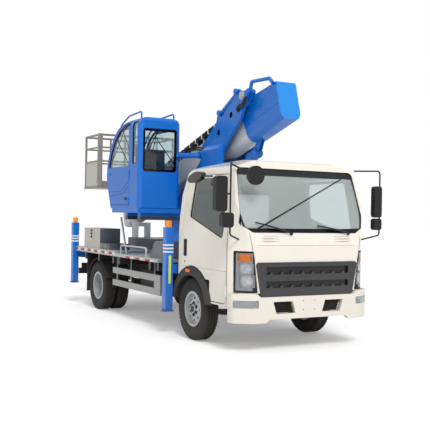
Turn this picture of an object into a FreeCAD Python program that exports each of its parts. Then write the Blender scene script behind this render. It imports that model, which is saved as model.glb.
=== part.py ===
import FreeCAD
import Part
import math
import os

# Cherry picker truck: a light cab-over truck that carries a slewing turret with an operator's cab,
# a telescopic boom stowed sloping down to the rear, and a work basket above the boom's tip.
# Millimetres. X runs forward, Y to the left and Z up from the ground. Places are measured from the
# front axle, and save() moves every piece to the frame below the middle of the whole length.

Vec = FreeCAD.Vector

# Overall
wheelbase = 3360
front_axle_x = -75
front_reach = 1120
rear_reach = 4875
cut_over = 40
moving_gap = 8
seat_gap = 0.3
least_round = 5

# Wheels
tyre_radius = 392
tyre_width = 200
rim_seat_radius = 204
rim_flange_radius = 223
rim_width = 140
rim_wall = 9
front_wheel_y = 855
rear_wheel_y = 880
dual_spacing = 230
disc_wall = 12
front_disc_offset = 38
hub_radius = 88
hub_cap_radius = 58
hub_cap_reach = 22
hand_hole_radius = 19
hand_hole_count = 8
tyre_profile_shares = [(0, 0.68), (0.11, 0.69), (0.32, 0.99), (0.86, 0.95), (1, 0.68)]

# Front axle and steering
kingpin_y = 755
kingpin_radius = 30
ear_height = 42
eye_height = 110
backing_radius = 118
backing_y = 797
backing_wall = 14
spindle_radius = 27
spindle_reach = 40
drum_radius = 150
drum_width = 48
axle_beam_width = 90
axle_beam_drop = 60
axle_kick_y = 520

# Rear axle
axle_tube_radius = 55
axle_tube_y = 540
diff_radius = 165
diff_length = 230

# Chassis
rail_inner_y = 290
rail_width = 65
rail_wall = 8
rail_bottom_z = 560
rail_top_z = 740
rail_front_gap = 120
rail_rear_x = -4560
cross_member_shares = [0.978, 0.622, 0.4065, 0.2986, 0.1187, 0.0072]
cross_member_width = 60
cross_member_inset = 25

# Springs
spring_width = 60
spring_leaf = 14
spring_arc_height = 50
front_spring_half = 520
rear_spring_half = 560
spring_y = 322

# Engine and driveline
engine_rear_x = -350
engine_front_x = 560
engine_half_width = 280
engine_bottom_z = 430
engine_top_z = 1050
gearbox_rear_x = -950
gearbox_front_share = 0.62
gearbox_half_width = 170
gearbox_half_height = 150
prop_shaft_radius = 42
mount_arm_width = 70

# Subframe and outriggers
subframe_top_z = 800
bearer_top_z = 920
bearer_width = 60
bearer_shares = [0.9718, 0.8955, 0.5678, 0.5, 0.3192, 0.138]
subframe_front_x = -520
front_jack_x = -620
rear_jack_x = -4430
outrigger_box_width = 130
outrigger_box_wall = 10
outrigger_beam_wall = 9
outrigger_box_inset = 100
beam_inner_y = 30
jack_width = 110
jack_wall = 8
jack_top_z = 1410
jack_foot_z = 300
rear_foot_z = 355
jack_foot_height = 22
jack_foot_width = 150
jack_tube_lift = 12
jack_leg_length = 900
beacon_radius = 42
beacon_height = 88

# Deck
deck_top_z = 1000
deck_edge = 80
deck_half_width = 1030
deck_rear_x = -4490
deck_step_rear_x = -2540
deck_front_x = -950
deck_front_drop = 35
deck_floor = 20
deck_edge_width = 50
jack_notch = 10

# Deck fittings
cabinet_rear_x = -4070
cabinet_front_x = -3310
cabinet_inset = 45
cabinet_inner_y = -630
cabinet_height = 330
tool_box_rear_x = -3700
tool_box_front_x = -2620
tool_box_outer_y = -330
tool_box_inner_y = 330
tool_box_height = 180
low_box_rear_x = -3300
low_box_front_x = -2900
low_box_inset = 45
low_box_inner_y = -630
low_box_height = 95
wedge_rear_x = -1440
wedge_front_x = -1010
wedge_inset = 100
wedge_inner_y = -560
wedge_height = 240
wedge_slope_share = 0.4
step_rail_rear_x = -2437
step_rail_front_x = -1480
step_rail_inset = 65
step_rail_height = 130
step_rail_radius = 14
ladder_top_x = -2613
ladder_top_z = 1520
ladder_foot_x = -2367
ladder_inset = 130
ladder_radius = 16

# Boom rest
rest_x = -3900
rest_half_width = 155
rest_column = 80
rest_depth = 110
rest_head = 70
rest_clear = 5

# Side guards
guard_rear_x = -2710
guard_front_x = -950
guard_plate_rear_x = -1130
guard_top_z = 745
guard_bottom_z = 465
guard_rail_height = 92
guard_inset = 45
guard_wall = 30
guard_post_shares = [0.0625, 0.375, 0.858]
guard_post_width = 44

# Tanks
tank_rear_x = -2250
tank_front_x = -1350
tank_inner_y = 400
tank_inset = 130
tank_bottom_z = 420
tank_top_z = 780
tank_corner = 60
battery_rear_x = -1900
battery_front_x = -1350
battery_inset = 170
battery_bottom_z = 470
battery_top_z = 770

# Rear bar
rear_bar_x = -4600
rear_bar_inset = 130
rear_bar_z = 500
rear_bar_height = 100
rear_bar_depth = 40
stay_y = 322
stay_width = 60
rear_flap_gap = 78
rear_flap_wall = 12
rear_flap_bottom_z = 260
rear_guard_gap = 45
rear_guard_wall = 8
rear_guard_over = 3
tail_lamp_inset = 310
tail_lamp_width = 260
tail_lamp_height = 90

# Turntable base
slew_x = -1900
pedestal_radius = 400
pedestal_top_z = 1400
pedestal_foot_half = 470
pedestal_foot_height = 60
ring_radius = 440
ring_height = 95

# Truck cab
cab_rear_x = -450
cab_front_x = 1085
cab_skirt_z = 520
cab_roof_z = 2275
cab_half_width = 975
cab_wall = 45
cab_floor_z = 930
cab_side_shares = [(0, 0.1595), (0, 0.7516), (0.085, 0.955), (0.5, 1), (0.798, 0.982), (0.972, 0.49),
                   (1, 0.409), (1, 0), (0.573, 0), (0.573, 0.1595)]
cab_side_round_shares = [0.011, 0.085, 0.091, 0.228, 0.04, 0.034, 0.034, 0.011, 0.011, 0.011]
cab_front_shares = [(1, 0), (1, 0.447), (0.9, 0.93), (0.5, 1), (-0.5, 1), (-0.9, 0.93), (-1, 0.447), (-1, 0)]
cab_front_round_shares = [0.006, 0.114, 0.063, 0.171, 0.171, 0.063, 0.114, 0.006]
cab_plan_shares = [(0, -1), (0.86, -1), (1, -0.82), (1, 0.82), (0.86, 1), (0, 1)]
cab_plan_round_shares = [0.028, 0.063, 0.085, 0.085, 0.063, 0.028]
plan_clear = 0.5
tunnel_half_width = 370
tunnel_top_z = 1120
tunnel_front_x = 640
tunnel_wall = 35
under_half_width = 500
under_top_z = 800
under_front_x = 1030
step_well_rear_x = 490
step_well_front_x = 790
step_well_depth = 285
step_well_z = 610
glass_set_back = 16
glass_wall = 6
screen_round = 60
screen_depth = 345
screen_shares = [(-0.764, 0.4929), (0.764, 0.4929), (0.923, 0.5442), (0.872, 0.9276),
                 (-0.872, 0.9276), (-0.923, 0.5442)]
seam_shares = [(0.8164, 0.4929), (0.8246, 0.4929), (0.8113, 0.4182), (0.7693, 0.3), (0.761, 0.3), (0.8031, 0.4182)]
seam_depth = 6
vent_share = (0.482, 0.667)
vent_low_z = 1283
vent_pitch = 32
vent_height = 9
rear_window_bottom_z = 1420
rear_window_top_z = 1880
rear_window_half = 430
rear_window_round = 50

# Cab doors
door_rear_x = -330
door_front_x = 830
door_bottom_z = 545
door_top_z = 2075
door_belt_z = 1400
door_frame_front_x = 742
door_frame_rear_x = -268
door_shoulder_z = 1900
door_round = 60
door_wall = 45
door_gap = 11
door_inner_top_z = 1250
door_window_shares = [(0.1638, 0.9719), (0.131, 0.6601), (0.9069, 0.4935), (0.9207, 0.5719), (0.8603, 0.9719)]
door_window_round_shares = [0.039, 0.026, 0.026, 0.039, 0.039]
hinge_radius = 12
hinge_length = 60
hinge_low_z = 700
hinge_high_z = 1330
hinge_out = 2
handle_rear_x = -275
handle_front_x = -180
handle_bottom_z = 1050
handle_top_z = 1275
handle_depth = 14

# Front wheel arches
arch_x = -45
arch_z = 400
arch_radius = 535
arch_mouth_radius = 428
arch_lip_over = 10
arch_lip_under = 87
liner_radius = 450
liner_wall = 8
liner_inner_y = 500
arch_low_z = 500
arch_rear_x = -556

# Front bumper
bumper_top_z = 690
bumper_dip_z = 647
bumper_dip_share = (0.745, 0.69)
bumper_bottom_z = 350
bumper_rise_z = 388
bumper_rise_share = (0.615, 0.564)
bumper_length = 248
bumper_wall = 60
bumper_plan_shares = [(0, -1), (0.45, -1), (1, -0.8), (1, 0.8), (0.45, 1), (0, 1)]
bumper_round = 90
plate_hole_z = 539
plate_spacing_y = 164
plate_spacing_z = 109
plate_hole_radius = 5
plate_hole_depth = 40
inlet_inner_y = 190
inlet_outer_y = 505
inlet_top_z = 590
inlet_bottom_z = 450
inlet_slope = 45
fog_inner_y = 700
fog_outer_y = 965
fog_top_z = 610
fog_bottom_z = 525
fog_depth = 28
fog_lens_radius = 30
fog_lens_wall = 10
fog_lens_y = 800
fog_turn = 40

# Grille
grille_top_z = 1045
grille_bottom_z = 648
grille_top_share = 0.754
grille_bottom_share = 0.677
grille_proud = 12
grille_back = 35
slot_middle_shares = [0.756, 0.353]
slot_heights = [90, 76]
slot_half_share = 0.9
slot_depth = 30
tooth_count = 8
tooth_height = 34
tooth_width = 60

# Lamps
lamp_top_z = 1175
lamp_bottom_z = 695
lamp_rear_x = 880
lamp_shares = [(0.718, 0), (0.954, 0), (0.959, 1), (0.7795, 0.994)]
lamp_proud = 2
lamp_back = 44
lamp_pocket = 35
lens_wall = 6
lens_round = 14
lens_boxes = [((0.798, 0.926), (0.74, 0.931)), ((0.775, 0.915), (0.446, 0.71)), ((0.754, 0.909), (0.127, 0.4375))]
bowl_radius = 50
bowl_depth = 32
bowl_back = 50
bowl_turn = 32

# Cab mirrors
mirror_pole_x = 905
mirror_pole_reach = 268
mirror_pole_top_z = 2185
mirror_pole_bottom_z = 1390
mirror_tube_radius = 10
mirror_foot_inset = 70
mirror_top_foot_x = 800
mirror_low_foot_z = 1300
mirror_low_foot_x = 960
mirror_low_foot_inset = 95
mirror_width = 120
mirror_depth = 75
main_mirror_z = 1587
main_mirror_height = 400
low_mirror_z = 1425
low_mirror_height = 150
mirror_round = 38
right_pole_x = 1030
right_pole_reach = 75
right_main_z = 1622
right_low_z = 1442
right_low_height = 170
right_width = 150
right_reach = 282
right_low_reach = 195
round_mirror_x = 1100
round_mirror_inset = 223
round_mirror_z = 2042
round_mirror_radius = 110
round_mirror_depth = 45
kerb_mirror_x = 175
kerb_mirror_reach = 65
kerb_mirror_z = 2040
kerb_mirror_half_length = 190
kerb_mirror_tilt = 9
kerb_mirror_half_height = 62
kerb_mirror_depth = 60
kerb_arm_x = 520
kerb_arm_z = 2046
kerb_arm_radius = 10

# Cab inside
dash_rear_x = 690
dash_top_z = 1330
dash_bottom_z = 1060
dash_inset = 125
dash_slope = 60
wheel_hub_x = 560
wheel_hub_y = 420
wheel_hub_z = 1330
wheel_rim_radius = 200
wheel_rim_tube = 15
wheel_tilt = 35
seat_rear_x = -330
seat_length = 470
seat_width = 500
seat_y = 610
seat_base_z = 1180
seat_top_z = 1290
seat_back_top_z = 1880
seat_back_wall = 110
seat_round = 45

# Turret
turret_plate_inner_y = 210
turret_plate_wall = 40
turret_base_z = 1495
turret_disc_height = 55
turret_disc_radius = 455
plate_rear_x = -2300
plate_front_x = 62
plate_top_z = 3257
turret_plate_shares = [(0.381, 0), (0.703, 0.41), (0.722, 0.525), (0.811, 0.644), (0.916, 0.757), (0.963, 0.878),
                       (1, 0.983), (0.947, 0.97), (0.878, 1), (0.847, 0.937), (0.699, 0.806), (0.658, 0.844),
                       (0.64, 0.762), (0.474, 0.605), (0.45, 0.468), (0, 0.03), (0, 0)]
turret_plate_round_shares = [0.018, 0.06, 0.03, 0.04, 0.04, 0.04, 0.018, 0.03, 0.018, 0.03, 0.03, 0.018, 0.04, 0.04, 0.07,
                             0.012, 0.006]
plate_hole_shares = [(0.814, 0.808), (0.672, 0.687)]
plate_hole_small = 40
plate_hole_back = 12
pivot_x = -98
pivot_z = 3155
pivot_pin_radius = 40
pivot_pin_over = 22
pivot_boss_radius = 78
web_wall = 16
cylinder_base_x = -720
cylinder_base_z = 2290
lug_pin_radius = 30
stay_tube_radius = 40
stay_tube_rear_z = 2440
stay_tube_front_x = -1150
stay_tube_front_z = 2435
stay_clevis_radius = 52
level_low = (-672, 2985)
level_high = (-226, 3222)
level_eye_radius = 38
level_tube_radius = 29
side_box_rear_x = -1040
side_box_front_x = -560
side_box_reach = 90
side_box_top_z = 2560
side_box_slope = 73
side_box_bottom_z = 2180
arm_frame_height = 60

# Lift cylinder
barrel_radius = 62
barrel_length = 1820
barrel_eye_radius = 62
barrel_eye_half = 80
rod_radius = 36
rod_reach = 1960
rod_eye_radius = 52
rod_eye_half = 45
boom_lug_wall = 24

# Operator's cab
op_outer_y = -1075
op_inner_y = -413
op_back_x = -1550
op_front_x = -2815
op_floor_z = 1660
op_roof_z = 2980
op_base_height = 65
op_wall = 40
op_side_shares = [(0, 0), (0, 1), (0.185, 1), (0.43, 0.984), (0.62, 0.922), (0.79, 0.812), (0.905, 0.671),
                  (0.985, 0.498), (1, 0.36), (0.957, 0.244), (0.895, 0.107), (0.847, 0)]
op_side_round_shares = [0.011, 0.043, 0.29, 0.36, 0.36, 0.36, 0.43, 0.36, 0.29, 0.36, 0.36, 0.011]
op_back_round = 70
op_front_rounds = 150
op_window_inset = 70
op_back_inset = 62
op_back_low_z = 2190
op_back_high_z = 2815
op_window_round = 45
op_door_gap = 8
op_door_rear_x = -1900
op_door_low_share = 0.035
op_door_wall = 40
op_door_frame = 62
op_door_window_z = 2282
quarter_rear_x = -1622
quarter_front_x = -1800
quarter_bottom_z = 2302
quarter_top_z = 2925
op_hinge_low_z = 1760
op_hinge_high_z = 2150
op_screen_low_z = 1980
op_screen_high_z = 2960
op_glass_wall = 8
op_handle_z = 2185
op_handle_height = 26
op_handle_length = 95
op_rail_radius = 13
op_rail_inset = 75
op_rail_off = 80
op_rail_start_x = -1650
op_seat_x = -2050
op_seat_z = 1980
op_seat_width = 420
op_seat_length = 420
op_seat_wall = 110
op_seat_back = 560
op_console_x = -2560
op_console_height = 620
op_console_width = 300
op_console_depth = 120

# Boom
boom_slope = 16.3
boom_width = 270
boom_height = 430
boom_drop = 137
boom_wall = 8
boom_round = 110
boom_top_round = 12
boom_nose_end = 634
boom_tail_end = -4482
section_step = 20
section_wall = 6
section_tail_step = 70
section_start_step = 60
section_stroke = 3400
section_count = 3
nose_half_width = 148
nose_front = 650
nose_round = 120
nose_rear = -265
nose_top = -9
nose_bottom = -595
nose_side_shares = [(0, 1), (0.048, 0.578), (0.137, 0), (1, 0.043), (1, 0.875)]
nose_crease_shares = [(0.15, 0.39), (1, 0.388)]
nose_crease_depth = 3
nose_crease_height = 9
ear_reach = 196
ear_shares = [(-0.9, 0.95), (1.15, 0.95), (2.37, 0), (-0.09, -1.65), (-1.06, -1.87), (-1.66, -0.77)]
handle_path_shares = [(0.15, 0.4), (0.23, 1.74), (0.846, 0), (0.945, -1.2)]
nose_end_wall = 15
collar_length = 90
collar_wall = 14
tip_ear_wall = 14
level_pivot_u = -4677
level_pivot_v = -112
level_ear_radius = 55
level_pin_radius = 22
hose_guard_radius = 24

# Hose chain
chain_y = -105
chain_width = 80
chain_height = 62
chain_link = 78
chain_pitch = 100
chain_count = 26
chain_start = -482
chain_lift = 60
chain_web = 24
chain_tray = 6
chain_core_share = 0.6

# Basket
basket_front_x = -4125
basket_floor_z = 2020
basket_top_z = 2980
basket_half_width = 725
basket_tube = 19
basket_floor_wall = 40
basket_panel_top_z = 2500
basket_panel_wall = 6
basket_mid_z = 2740
basket_swing_x = -4500
basket_mast_width = 90
basket_post_y_share = [-1, -0.33, 0.33, 1]
basket_kick = 130
mount_cheek_wall = 14
mount_plate_wall = 20
mount_top_gap = 45
swing_radius = 110
control_box_width = 260
control_box_depth = 130
control_box_height = 220

# Values that follow
frame_shift = (rear_reach - front_reach) / 2
rear_axle_x = front_axle_x - wheelbase
rail_front_x = front_reach - rail_front_gap
outrigger_box_half = deck_half_width - outrigger_box_inset
jack_y = deck_half_width
cabinet_outer_y = cabinet_inset - deck_half_width
low_box_outer_y = low_box_inset - deck_half_width
wedge_outer_y = wedge_inset - deck_half_width
step_rail_y = step_rail_inset - deck_half_width
ladder_y = ladder_inset - deck_half_width
guard_y = deck_half_width - guard_inset
tank_outer_y = deck_half_width - tank_inset
battery_outer_y = battery_inset - deck_half_width
rear_bar_half = deck_half_width - rear_bar_inset
rear_flap_x = rear_axle_x - tyre_radius - rear_flap_gap
tail_lamp_y = deck_half_width - tail_lamp_inset
step_well_inner_y = cab_half_width - step_well_depth
arch_outer_y = cab_half_width + arch_lip_over
arch_inner_y = cab_half_width - arch_lip_under
bumper_rear_x = front_reach - bumper_length
grille_top_half = cab_half_width * grille_top_share
grille_bottom_half = cab_half_width * grille_bottom_share
mirror_pole_y = cab_half_width + mirror_pole_reach
mirror_foot_y = cab_half_width - mirror_foot_inset
mirror_low_foot_y = cab_half_width - mirror_low_foot_inset
round_mirror_y = round_mirror_inset - cab_half_width
kerb_mirror_y = -cab_half_width - kerb_mirror_reach
dash_half_width = cab_half_width - dash_inset
spring_seat_z = tyre_radius + axle_tube_radius + spring_leaf / 2
right_pole_y = cab_half_width + right_pole_reach
basket_rear_x = -rear_reach
cab_height = cab_roof_z - cab_skirt_z


def point(axis, a, b, level):
    """A place given by its two coordinates across an axis and its level along it."""
    if axis == "x":
        return Vec(level, a, b)
    if axis == "y":
        return Vec(a, level, b)
    return Vec(a, b, level)


def unit(vector):
    """The same direction with a length of one."""
    return vector * (1.0 / vector.Length)


def spread(shares, start, end, low, high):
    """An outline in shares of a box, as real places."""
    return [(start + (end - start) * a, low + (high - low) * b) for a, b in shares]


def inset(points, depth):
    """The outline moved inwards by depth, with mitred corners."""
    count = len(points)
    turn = sum(points[i - 1][0] * points[i][1] - points[i][0] * points[i - 1][1] for i in range(count))
    side = depth if turn > 0 else -depth
    lines = []
    for i in range(count):
        ax, ay = points[i - 1]
        bx, by = points[i]
        length = math.hypot(bx - ax, by - ay)
        dx, dy = (bx - ax) / length, (by - ay) / length
        lines.append((ax - dy * side, ay + dx * side, dx, dy))
    moved = []
    for i in range(count):
        px, py, ux, uy = lines[i]
        qx, qy, wx, wy = lines[(i + 1) % count]
        cross = ux * wy - uy * wx
        if abs(cross) < 0.001:
            moved.append((qx, qy))
            continue
        along = ((qx - px) * wy - (qy - py) * wx) / cross
        moved.append((px + ux * along, py + uy * along))
    return moved


def rounded_wire(points, axis, level, rounds):
    """A closed wire through the outline, each corner rounded by its radius."""
    count = len(points)
    radii = list(rounds) if isinstance(rounds, (list, tuple)) else [rounds] * count
    places = [point(axis, a, b, level) for a, b in points]
    starts = []
    ends = []
    arcs = []
    for i in range(count):
        here = places[i]
        back = unit(places[i - 1] - here)
        ahead = unit(places[(i + 1) % count] - here)
        angle = back.getAngle(ahead)
        if radii[i] <= 0 or math.pi - angle < 0.01:
            starts.append(here)
            ends.append(here)
            arcs.append(None)
            continue
        room = 0.48 * min((places[i - 1] - here).Length, (places[(i + 1) % count] - here).Length)
        cut = min(radii[i] / math.tan(angle / 2), room)
        radius = cut * math.tan(angle / 2)
        middle = unit(back + ahead)
        centre = here + middle * (radius / math.sin(angle / 2))
        starts.append(here + back * cut)
        ends.append(here + ahead * cut)
        arcs.append(centre - middle * radius)
    edges = []
    for i in range(count):
        if arcs[i] is not None:
            edges.append(Part.Arc(starts[i], arcs[i], ends[i]).toShape())
        following = starts[(i + 1) % count]
        if (following - ends[i]).Length > seat_gap * 0.01:
            edges.append(Part.LineSegment(ends[i], following).toShape())
    return Part.Wire(edges)


def prism(points, axis, low, high, rounds=0):
    """An outline across an axis, drawn out from low to high along it."""
    face = Part.Face(rounded_wire(points, axis, low, rounds))
    return face.extrude(point(axis, 0, 0, high - low))


def block(x0, x1, y0, y1, z0, z1, edge_round=0, axis="z"):
    """A box between two corners, its edges along an axis rounded."""
    spans = {"x": ((y0, y1), (z0, z1), (x0, x1)), "y": ((x0, x1), (z0, z1), (y0, y1)),
             "z": ((x0, x1), (y0, y1), (z0, z1))}
    (a0, a1), (b0, b1), (low, high) = spans[axis]
    corners = [(a0, b0), (a1, b0), (a1, b1), (a0, b1)]
    return prism(corners, axis, min(low, high), max(low, high), edge_round)


def rod(start, end, radius):
    """A round bar between two places."""
    return Part.makeCylinder(radius, (end - start).Length, start, end - start)


def disc(axis, a, b, low, high, radius):
    """A cylinder along an axis."""
    return rod(point(axis, a, b, low), point(axis, a, b, high), radius)


def turned(points, centre, axis):
    """A closed outline of radii and places along the axis, turned full circle about it."""
    side = Vec(0, 0, 1) if abs(axis.z) < abs(axis.y) + abs(axis.x) else Vec(1, 0, 0)
    places = [centre + side * radius + axis * along for radius, along in points]
    return Part.Face(Part.makePolygon(places + places[:1])).revolve(centre, axis, 360)


def bent_tube(places, radius, bend):
    """A round tube along straight runs joined by tangent arcs."""
    edges = []
    here = places[0]
    for i in range(1, len(places) - 1):
        back = unit(places[i - 1] - places[i])
        ahead = unit(places[i + 1] - places[i])
        half = back.getAngle(ahead) / 2
        cut = bend / math.tan(half)
        middle = unit(back + ahead)
        centre = places[i] + middle * (bend / math.sin(half))
        start = places[i] + back * cut
        end = places[i] + ahead * cut
        edges.append(Part.LineSegment(here, start).toShape())
        edges.append(Part.Arc(start, centre - middle * bend, end).toShape())
        here = end
    edges.append(Part.LineSegment(here, places[-1]).toShape())
    path = Part.Wire(edges)
    ring = Part.Wire([Part.Circle(places[0], places[1] - places[0], radius).toShape()])
    return path.makePipeShell([ring], True, False)


def mirrored(shape):
    """The same piece on the other side of the truck."""
    return shape.mirror(Vec(0, 0, 0), Vec(0, 1, 0))


def both(shape):
    """The piece and its mirror image."""
    return shape.fuse(mirrored(shape))


def joined(shapes):
    """All the pieces fused into one."""
    if len(shapes) == 1:
        return shapes[0]
    return shapes[0].fuse(shapes[1:]).removeSplitter()


def apart(shapes):
    """Pieces that don't touch, kept as solids of one node."""
    return Part.makeCompound([solid for shape in shapes for solid in shape.Solids])


def fitted(shapes):
    """Pieces of one node that meet face to face, each cut where an earlier one is."""
    solids = []
    for i, shape in enumerate(shapes):
        rest = shape.cut(shapes[:i]) if i else shape
        solids += [solid for solid in rest.Solids if solid.Volume > least_round ** 3]
    return Part.makeCompound(solids)


def part_way(low, high, share):
    """The place at a share of the way from low to high."""
    return low + (high - low) * share


def save(name, shape):
    """Writes a node in the frame of the whole truck."""
    placed = shape.copy()
    placed.translate(Vec(frame_shift, 0, 0))
    placed.exportStep("parts/" + name + ".step")


def tyre(centre):
    """A tyre about a wheel's centre."""
    half = tyre_width / 2
    upper = [(rim_seat_radius + (tyre_radius - rim_seat_radius) * a, half * b) for a, b in tyre_profile_shares]
    lower = [(radius, -along) for radius, along in reversed(upper)]
    return turned(upper + lower, centre, Vec(0, 1, 0))


def rim_barrel(centre):
    """The rim's barrel with its two flanges."""
    half = rim_width / 2
    inner = rim_seat_radius - rim_wall
    flange = rim_flange_radius
    outline = [(inner, -half), (inner, half), (inner, half + rim_wall), (flange, half + rim_wall), (flange, half),
               (rim_seat_radius, half), (rim_seat_radius, -half), (flange, -half), (flange, -half - rim_wall),
               (inner, -half - rim_wall)]
    return turned(outline, centre, Vec(0, 1, 0))


def hand_holes(centre, low, high, circle, radius):
    """The ring of round holes through a wheel disc."""
    holes = []
    for i in range(hand_hole_count):
        angle = 2 * math.pi * i / hand_hole_count
        x = centre.x + circle * math.cos(angle)
        z = centre.z + circle * math.sin(angle)
        holes.append(disc("y", x, z, centre.y + low, centre.y + high, radius))
    return Part.makeCompound(holes)


def front_rim(centre):
    """A front wheel: barrel, dished disc with hand holes, hub, cap and brake drum."""
    barrel_inner = rim_seat_radius - rim_wall
    foot = front_disc_offset
    dish = [(barrel_inner, foot - disc_wall), (barrel_inner, foot), (hub_radius * 1.25, foot + disc_wall * 1.6),
            (hub_radius, foot + disc_wall * 1.6), (0, foot + disc_wall * 1.6), (0, foot - disc_wall * 0.5),
            (hub_radius, foot - disc_wall * 0.5)]
    circle = (barrel_inner + hub_radius) / 2
    body = turned(dish, centre, Vec(0, 1, 0))
    body = body.cut(hand_holes(centre, foot - cut_over, foot + cut_over, circle, hand_hole_radius))
    cap_start = foot + disc_wall * 1.6
    cap = turned([(0, 0), (hub_cap_radius, 0), (hub_cap_radius * 0.85, hub_cap_reach), (0, hub_cap_reach)],
                 centre + Vec(0, cap_start, 0), Vec(0, 1, 0))
    drum_start = backing_y + backing_wall + seat_gap - front_wheel_y
    drum = turned([(spindle_radius + seat_gap, drum_start), (drum_radius, drum_start),
                   (drum_radius, drum_start + drum_width), (hub_radius, foot), (spindle_radius + seat_gap, foot)],
                  centre, Vec(0, 1, 0))
    return joined([rim_barrel(centre), body, cap, drum])


def rear_rims(centre):
    """Twin rear wheels: two barrels whose discs bolt together, on one hub."""
    inner_centre = centre - Vec(0, dual_spacing, 0)
    barrel_inner = rim_seat_radius - rim_wall
    middle = -dual_spacing / 2
    rise = disc_wall * 3
    outer_disc = [(barrel_inner, middle + rise), (barrel_inner, middle + rise + disc_wall),
                  (hub_radius * 1.3, middle + disc_wall), (0, middle + disc_wall), (0, middle),
                  (hub_radius * 1.3, middle)]
    inner_disc = [(radius, 2 * middle - along) for radius, along in outer_disc]
    circle = (barrel_inner + hub_radius * 1.3) / 2
    plates = [turned(outer_disc, centre, Vec(0, 1, 0)), turned(inner_disc, centre, Vec(0, 1, 0))]
    holes = hand_holes(centre, middle - rise - cut_over, middle + rise + cut_over, circle, hand_hole_radius)
    plates = [plate.cut(holes) for plate in plates]
    hub = turned([(0, middle), (hub_radius, middle), (hub_radius, middle + disc_wall * 3),
                  (hub_cap_radius, middle + disc_wall * 7), (0, middle + disc_wall * 7)], centre, Vec(0, 1, 0))
    axle_face = axle_tube_y + seat_gap - centre.y
    drum = turned([(0, axle_face), (drum_radius, axle_face), (drum_radius, axle_face + drum_width),
                   (hub_radius, middle), (0, middle)], centre, Vec(0, 1, 0))
    return joined([rim_barrel(centre), rim_barrel(inner_centre)] + plates + [hub, drum])


def build_wheels():
    """Tyres and rims at their four corners."""
    front = Vec(front_axle_x, front_wheel_y, tyre_radius)
    rear = Vec(rear_axle_x, rear_wheel_y, tyre_radius)
    front_tyre = tyre(front)
    rear_tyres = apart([tyre(rear), tyre(rear - Vec(0, dual_spacing, 0))])
    pieces = {"front_tyre": front_tyre, "front_rim": front_rim(front), "rear_tyres": rear_tyres,
              "rear_rims": rear_rims(rear)}
    for name, shape in pieces.items():
        save(name + "_left", shape)
        save(name + "_right", mirrored(shape))


def build_axles():
    """The dropped front beam, its knuckles and the rear axle."""
    z = tyre_radius
    half_eye = eye_height / 2
    beam = [(-kingpin_y, z - half_eye * 0.6), (-axle_kick_y, z - half_eye * 0.6 - axle_beam_drop),
            (axle_kick_y, z - half_eye * 0.6 - axle_beam_drop), (kingpin_y, z - half_eye * 0.6),
            (kingpin_y, z + half_eye * 0.6), (axle_kick_y * 0.93, z + half_eye * 0.6 - axle_beam_drop),
            (-axle_kick_y * 0.93, z + half_eye * 0.6 - axle_beam_drop), (-kingpin_y, z + half_eye * 0.6)]
    x = front_axle_x
    bar = prism(beam, "x", x - axle_beam_width / 2, x + axle_beam_width / 2)
    eye = disc("z", x, kingpin_y, z - half_eye, z + half_eye, kingpin_radius * 1.3)
    pads = block(x - axle_beam_width, x + axle_beam_width, spring_y - spring_width / 2, spring_y + spring_width / 2,
                 z - axle_beam_drop, spring_seat_z)
    inner_y = spring_y - spring_width / 2
    outer_y = spring_y + spring_width / 2
    springs = both(leaf_pack(x, front_spring_half, inner_y, outer_y))
    save("front_axle", joined([bar, both(eye), both(pads), springs]))

    ear_top = disc("z", x, kingpin_y, z + half_eye + seat_gap, z + half_eye + ear_height, kingpin_radius * 1.3)
    ear_low = disc("z", x, kingpin_y, z - half_eye - ear_height, z - half_eye - seat_gap, kingpin_radius * 1.3)
    arm_top = block(x - kingpin_radius, x + kingpin_radius, kingpin_y, backing_y + backing_wall / 2,
                    z + half_eye + seat_gap, z + half_eye + ear_height)
    arm_low = block(x - kingpin_radius, x + kingpin_radius, kingpin_y, backing_y + backing_wall / 2,
                    z - half_eye - ear_height, z - half_eye - seat_gap)
    backing = disc("y", x, z, backing_y, backing_y + backing_wall, backing_radius)
    spindle = disc("y", x, z, backing_y, backing_y + backing_wall + spindle_reach, spindle_radius)
    knuckle = joined([ear_top, ear_low, arm_top, arm_low, backing, spindle])
    save("knuckle_left", knuckle)
    save("knuckle_right", mirrored(knuckle))

    tube = disc("y", rear_axle_x, z, -axle_tube_y, axle_tube_y, axle_tube_radius)
    bulge = turned([(0, -diff_length / 2), (diff_radius * 0.7, -diff_length / 2), (diff_radius, -diff_length / 5),
                    (diff_radius, diff_length / 5), (diff_radius * 0.7, diff_length / 2), (0, diff_length / 2)],
                   Vec(rear_axle_x, 0, z), Vec(0, 1, 0))
    neck = rod(Vec(rear_axle_x, 0, z), Vec(rear_axle_x + diff_radius * 1.7, 0, z + diff_radius * 0.2),
               diff_radius * 0.5)
    seat = block(rear_axle_x - axle_beam_width, rear_axle_x + axle_beam_width, spring_y - spring_width / 2,
                 spring_y + spring_width / 2, z, spring_seat_z)
    springs = both(leaf_pack(rear_axle_x, rear_spring_half, inner_y, outer_y))
    save("rear_axle", joined([tube, bulge, neck, both(seat), springs]))


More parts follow.
